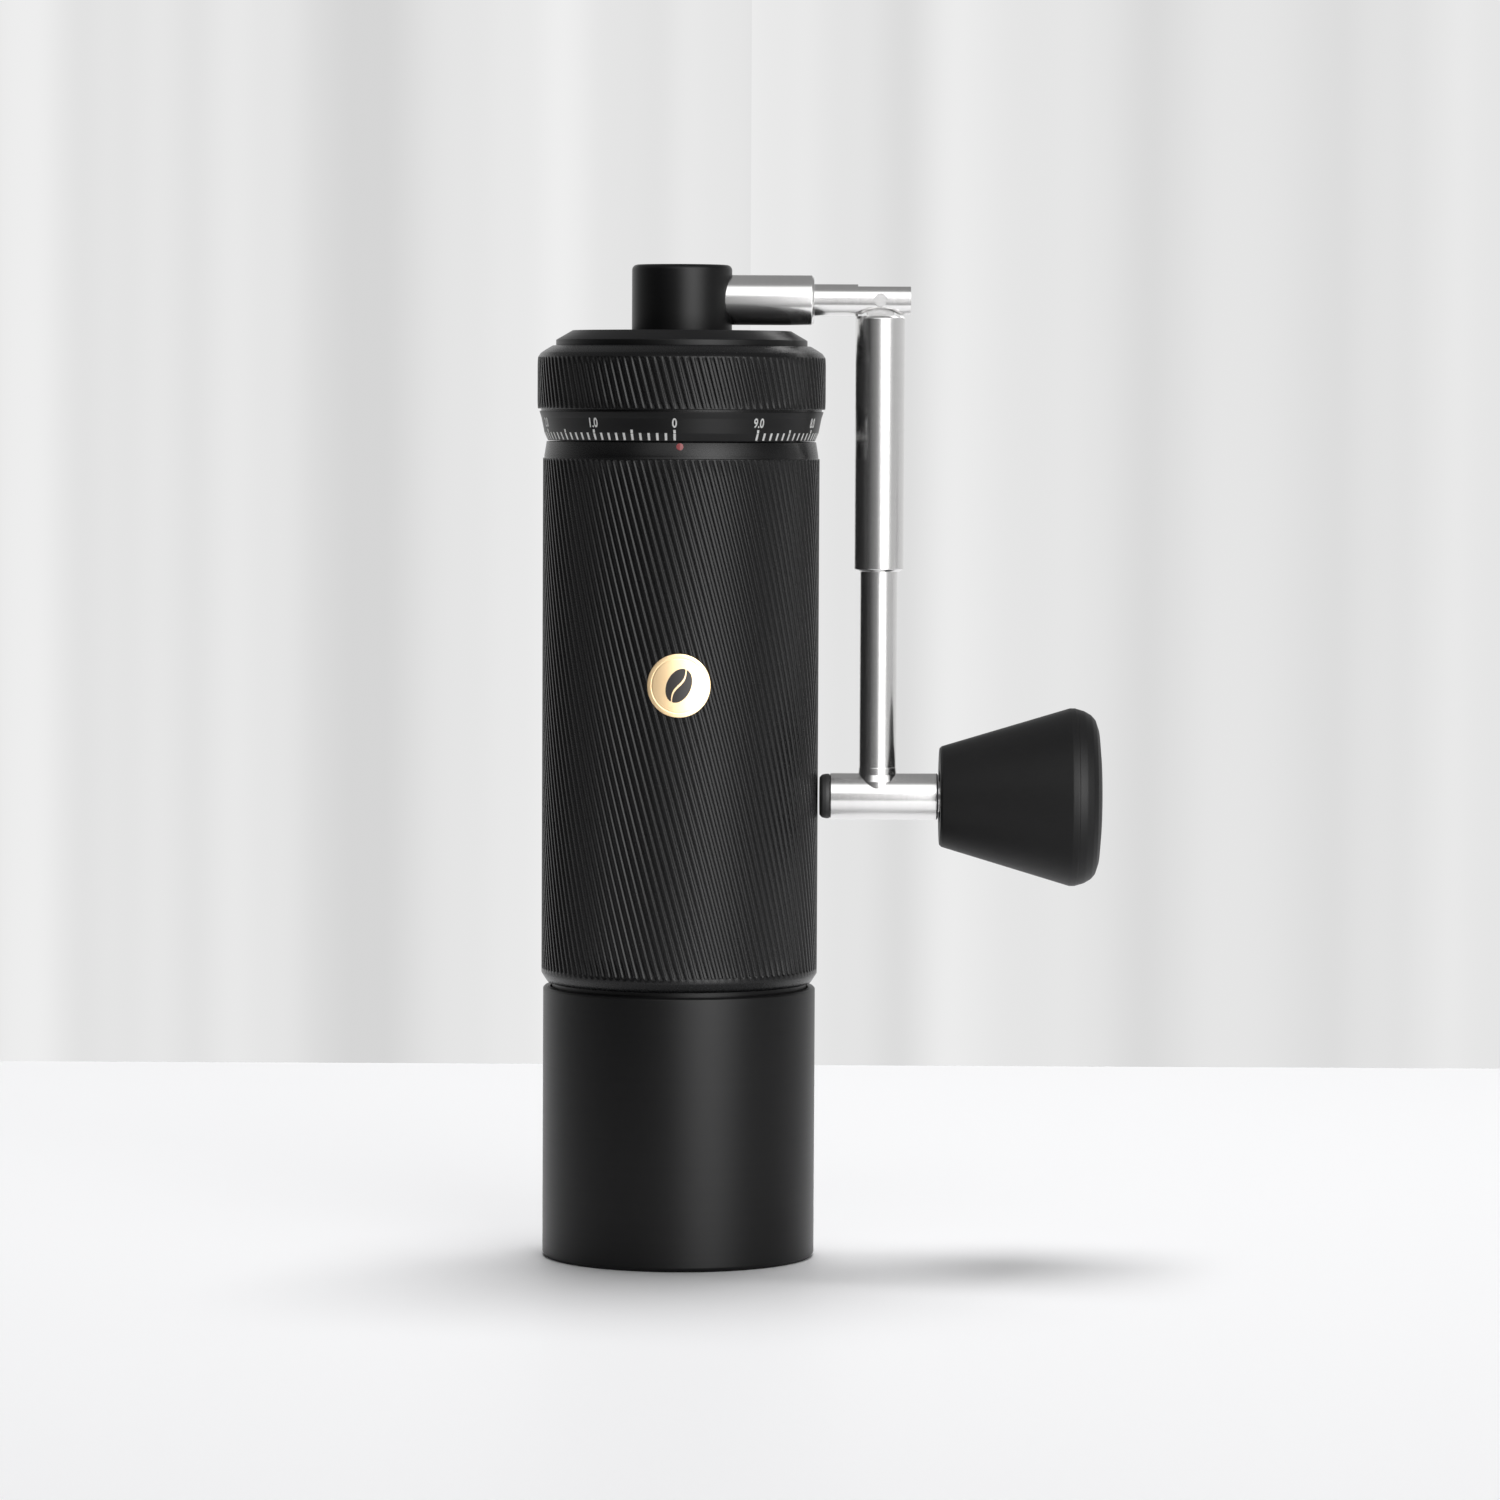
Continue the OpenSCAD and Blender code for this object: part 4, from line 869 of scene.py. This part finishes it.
# %% Node tree that lays out the marks
def build_scale_tree():
    """Geometry Nodes: thin painted marks round a band, cast onto the band's own surface."""
    labels = ("Step angle", "First angle", "Foot", "Short", "Long", "Width", "Start radius", "Lift")
    inputs = [("Marks", "NodeSocketInt")] + [(label, FLOAT) for label in labels]
    tree, first, last = new_geometry_tree("dial_scale", inputs)
    given = first.outputs
    paint_depth = 0.00004

    def maths(operation, a, b=None):
        return fill_sockets(tree, add_node(tree, "ShaderNodeMath", operation), (a, b))

    def vector(x, y, z):
        return fill_sockets(tree, tree.nodes.new("ShaderNodeCombineXYZ"), (x, y, z))

    index = tree.nodes.new("GeometryNodeInputIndex").outputs[0]
    line = tree.nodes.new("GeometryNodePoints")
    angle = maths("ADD", given["First angle"], maths("MULTIPLY", index, given["Step angle"]))
    place = vector(maths("MULTIPLY", maths("COSINE", angle), given["Start radius"]),
                   maths("MULTIPLY", maths("SINE", angle), given["Start radius"]), given["Foot"])
    stamp = add_node(tree, "GeometryNodeMeshCube", values={"Size": (1, 1, 1), "Vertices X": 2,
                                                           "Vertices Y": 3, "Vertices Z": 5})
    raise_up = add_node(tree, "GeometryNodeTransform", values={"Translation": (0.5, 0, 0.5)})
    position = tree.nodes.new("GeometryNodeInputPosition").outputs[0]
    split = add_node(tree, "ShaderNodeSeparateXYZ")
    face_side = add_node(tree, "GeometryNodeStoreNamedAttribute", data_type="FLOAT", domain="POINT",
                         values={"Name": "face_side"})
    side_in = [s for s in face_side.inputs if s.name == "Value" and s.enabled][0]
    fifth = maths("LESS_THAN", maths("MODULO", index, 5.0), 0.5)
    extra = maths("SUBTRACT", given["Long"], given["Short"])
    tall = maths("ADD", given["Short"], maths("MULTIPLY", fifth, extra))
    spread = tree.nodes.new("GeometryNodeInstanceOnPoints")
    realize = tree.nodes.new("GeometryNodeRealizeInstances")
    wire(tree, (given["Marks"], line.inputs["Count"]), (place, line.inputs["Position"]),
         (stamp.outputs["Mesh"], raise_up.inputs["Geometry"]), (position, split.inputs[0]),
         (raise_up.outputs[0], face_side.inputs["Geometry"]),
         (maths("GREATER_THAN", split.outputs["X"], 0.5), side_in),
         (line.outputs[0], spread.inputs["Points"]), (face_side.outputs[0], spread.inputs["Instance"]),
         (vector(0.0, 0.0, angle), spread.inputs["Rotation"]),
         (vector(0.0001, given["Width"], tall), spread.inputs["Scale"]),
         (spread.outputs[0], realize.inputs[0]))
    flat = add_node(tree, "ShaderNodeVectorMath", "MULTIPLY", {1: (1, 1, 0)})
    outward = add_node(tree, "ShaderNodeVectorMath", "NORMALIZE")
    inward = add_node(tree, "ShaderNodeVectorMath", "SCALE", {"Scale": -1.0})
    ray = add_node(tree, "GeometryNodeRaycast", values={"Ray Length": 0.01})
    read_side = add_node(tree, "GeometryNodeInputNamedAttribute", data_type="FLOAT",
                         values={"Name": "face_side"})
    side_out = [s for s in read_side.outputs if s.name == "Attribute" and s.enabled][0]
    whole_depth = maths("ADD", given["Lift"], paint_depth)
    raised = maths("SUBTRACT", maths("MULTIPLY", side_out, whole_depth), paint_depth)
    lift = add_node(tree, "ShaderNodeVectorMath", "SCALE")
    landed = add_node(tree, "ShaderNodeVectorMath", "ADD")
    move = tree.nodes.new("GeometryNodeSetPosition")
    paint = tree.nodes.new("GeometryNodeSetMaterial")
    wire(tree, (position, flat.inputs[0]), (flat.outputs[0], outward.inputs[0]),
         (outward.outputs[0], inward.inputs[0]), (given["Geometry"], ray.inputs["Target Geometry"]),
         (inward.outputs[0], ray.inputs["Ray Direction"]), (outward.outputs[0], lift.inputs[0]),
         (raised, lift.inputs["Scale"]), (ray.outputs["Hit Position"], landed.inputs[0]),
         (lift.outputs[0], landed.inputs[1]), (realize.outputs[0], move.inputs["Geometry"]),
         (landed.outputs[0], move.inputs["Position"]), (move.outputs[0], paint.inputs["Geometry"]),
         (given["Material"], paint.inputs["Material"]), (paint.outputs[0], last.inputs["Geometry"]))
    return tree


FIRST_MARK = radians(-92.2)
MARK_STEP = radians(-3.6)
MARKS_PER_NUMBER = 10
TOP_NUMBER = 9
band_mesh = bpy.data.objects["number_band"].data.copy()
marks = run_tree("scale_marks", band_mesh, build_scale_tree(), {
    "Marks": TOP_NUMBER * MARKS_PER_NUMBER + 1, "Step angle": MARK_STEP, "First angle": FIRST_MARK,
    "Foot": BAND_Z0 + 0.2 * MM, "Short": 1.35 * MM, "Long": 1.95 * MM, "Width": 0.5 * MM,
    "Start radius": BODY_R + 1.5 * MM, "Lift": 0.02 * MM, "Material": white_paint})
add_piece("scale_marks", marks, "dial", white_paint)


# %% Numbers from 0 to 9.0
def band_radius(z):
    """Radius in millimetres of the leaning band at height z in millimetres."""
    for (r0, z0), (r1, z1) in zip(band_profile, band_profile[1:]):
        if z <= z1:
            return r0 + (r1 - r0) * (z - z0) / (z1 - z0)
    return band_profile[-1][0]


# A digit's height as a share of the font's size
DIGIT_SHARE = 0.73


def number_mesh(label, height, narrow):
    """A thin solid of the label, centred on x and standing on y = 0, in millimetres."""
    curve = bpy.data.curves.new("label", "FONT")
    curve.body = label
    curve.size = height / DIGIT_SHARE
    curve.extrude = 0.03
    curve.offset = 0.05
    curve.align_x = "CENTER"
    curve.resolution_u = 4
    holder = bpy.data.objects.new("label", curve)
    scene.collection.objects.link(holder)
    mesh = bpy.data.meshes.new_from_object(holder.evaluated_get(bpy.context.evaluated_depsgraph_get()))
    bpy.data.objects.remove(holder)
    mesh.transform(Matrix.Diagonal((narrow, 1, 1, 1)))
    return mesh


digits = bmesh.new()
NUMBER_FOOT = B0 + 2.6
NUMBER_HEIGHT, NUMBER_NARROWING = 1.75, 0.78
for step in range(TOP_NUMBER + 1):
    label = number_mesh("0" if step == 0 else f"{step}.0", NUMBER_HEIGHT, NUMBER_NARROWING)
    middle = FIRST_MARK + MARK_STEP * MARKS_PER_NUMBER * step
    for vertex in label.vertices:
        x, y, depth = vertex.co
        z = NUMBER_FOOT + y
        r = band_radius(z) + (0.02 if depth > 0 else -0.04)
        angle = middle + x / r
        vertex.co = (r * cos(angle) * MM, r * sin(angle) * MM, z * MM)
    digits.from_mesh(label)
label_mesh = bpy.data.meshes.new("scale_numbers")
digits.to_mesh(label_mesh)
digits.free()
add_piece("scale_numbers", smooth_and_close(label_mesh), "dial", white_paint)

# %% [markdown]
# ## Badge
# A round brass disc let into the front, wrapped to the body's curve, with a soft rim. Its picture is a
# plain coffee bean in dark enamel: two halves with the crease between them.


# %% Wrap the badge onto the body
def wrap_to_front(mesh, z_middle):
    """Bends a flat mesh onto the body's front: x runs round, y runs up, z is the height over it."""
    for vertex in mesh.vertices:
        x, y, height = vertex.co
        r = BODY_R + height
        vertex.co = (r * sin(x / BODY_R), -r * cos(x / BODY_R), z_middle + y)
    return smooth_and_close(mesh)


BADGE_R = half_width("badge", "z")
BADGE_Z = sum(span("badge", "z")) / 2
face = 0.14
# The points across the flat face let it bend with the body
button = rounded_outline([(r * MM, h * MM, f * MM) for r, h, f in [
    (0, -0.5, 0), (BADGE_R - 0.05, -0.5, 0), (BADGE_R - 0.05, face, 0.12), (BADGE_R - 0.75, face, 0.05),
    (BADGE_R - 0.85, face - 0.03, 0.02), (BADGE_R - 1.0, face - 0.03, 0.02), (BADGE_R - 1.1, face, 0.05),
    (BADGE_R - 2.2, face, 0), (BADGE_R - 3.4, face, 0), (BADGE_R - 4.6, face, 0), (0, face, 0)]], False)
badge_mesh = wrap_to_front(spin_mesh("badge_face", button, False, 128), BADGE_Z)
add_piece("badge_face", badge_mesh, "body", badge_brass, ["badge"])


# %% Bean picture
def bean_half(side, rows=28, columns=6):
    """One half of a coffee bean as a thin solid: side is -1 for the left half, 1 for the right."""
    long, wide, gap = 3.3, 2.25, 0.22
    verts, faces = [], []
    for layer in (0.02, face + 0.02):
        for row in range(rows + 1):
            t = -0.985 + 1.97 * row / rows
            edge = side * wide * (1 - t * t) ** 0.5
            crease = 0.42 * sin(pi * t) + side * gap * (1 - 0.6 * abs(t))
            crease = max(crease, edge) if side < 0 else min(crease, edge)
            verts += [((edge + (crease - edge) * c / columns) * MM, long * t * MM, layer * MM)
                      for c in range(columns + 1)]
    line = columns + 1
    sheet = (rows + 1) * line
    for layer in (0, 1):
        for row in range(rows):
            for c in range(columns):
                a = layer * sheet + row * line + c
                faces.append((a, a + 1, a + line + 1, a + line))
    rim = list(range(line)) + [r * line + columns for r in range(1, rows + 1)]
    rim += [rows * line + c for c in reversed(range(columns))]
    rim += [r * line for r in reversed(range(1, rows))]
    for a, b in zip(rim, rim[1:] + rim[:1]):
        faces.append((a, b, b + sheet, a + sheet))
    mesh = bpy.data.meshes.new("bean_half")
    mesh.from_pydata(verts, [], faces)
    mesh.transform(Matrix.Rotation(radians(-24), 4, "Z"))
    return mesh


bean = bmesh.new()
for side in (-1, 1):
    bean.from_mesh(bean_half(side))
bean_mesh = bpy.data.meshes.new("badge_bean")
bean.to_mesh(bean_mesh)
bean.free()
add_piece("badge_bean", wrap_to_front(bean_mesh, BADGE_Z), "body", enamel)

# %% [markdown]
# ## Painting the CAD parts
# The parts that keep their CAD shapes take their finishes here: the fork and its pin, and everything
# inside the body, which shows when the cup, the lid or the handle comes away.

# %% Give each kept part its finish
steel_fork = polished_steel("steel_fork", (0, 0, ARM_Z), ALONG_X)
finish_of = {
    "fork_rod": steel_fork, "arm_rod": steel_upright, "fold_pin": steel_fork, "bumper_screw": steel_tee,
    "knob_spindle": steel_tee, "index_dot": red_paint, "front_bush": bush_plastic,
    "rear_bush": bush_plastic, "drive_ring": brass, "spigot_seal": rubber_black,
    "lid_seal": rubber_black, "lid_bush": bush_plastic, "preload_spring": spring_wire,
    "click_spring": spring_wire}
finish_of.update({name: anodised for name in (
    "burr_housing", "lower_spider", "neck", "dial_retainer", "carriage")})
finish_of.update({name: steel_axis for name in (
    "burr_clamp", "burr_screws", "liner_tube", "lower_bearing", "upper_bearing", "shaft", "burr_washer",
    "burr_nut", "spring_seat", "hub_core")})
finish_of.update({name: burr_steel for name in (
    "cup_steel_ring", "cup_magnets", "ring_burr", "click_ball", "click_ring", "cone_burr", "upper_circlip",
    "lower_circlip", "core_clip")})
for name, material in finish_of.items():
    nodes[name].data.materials.clear()
    nodes[name].data.materials.append(material)
print("painted:", len(finish_of))
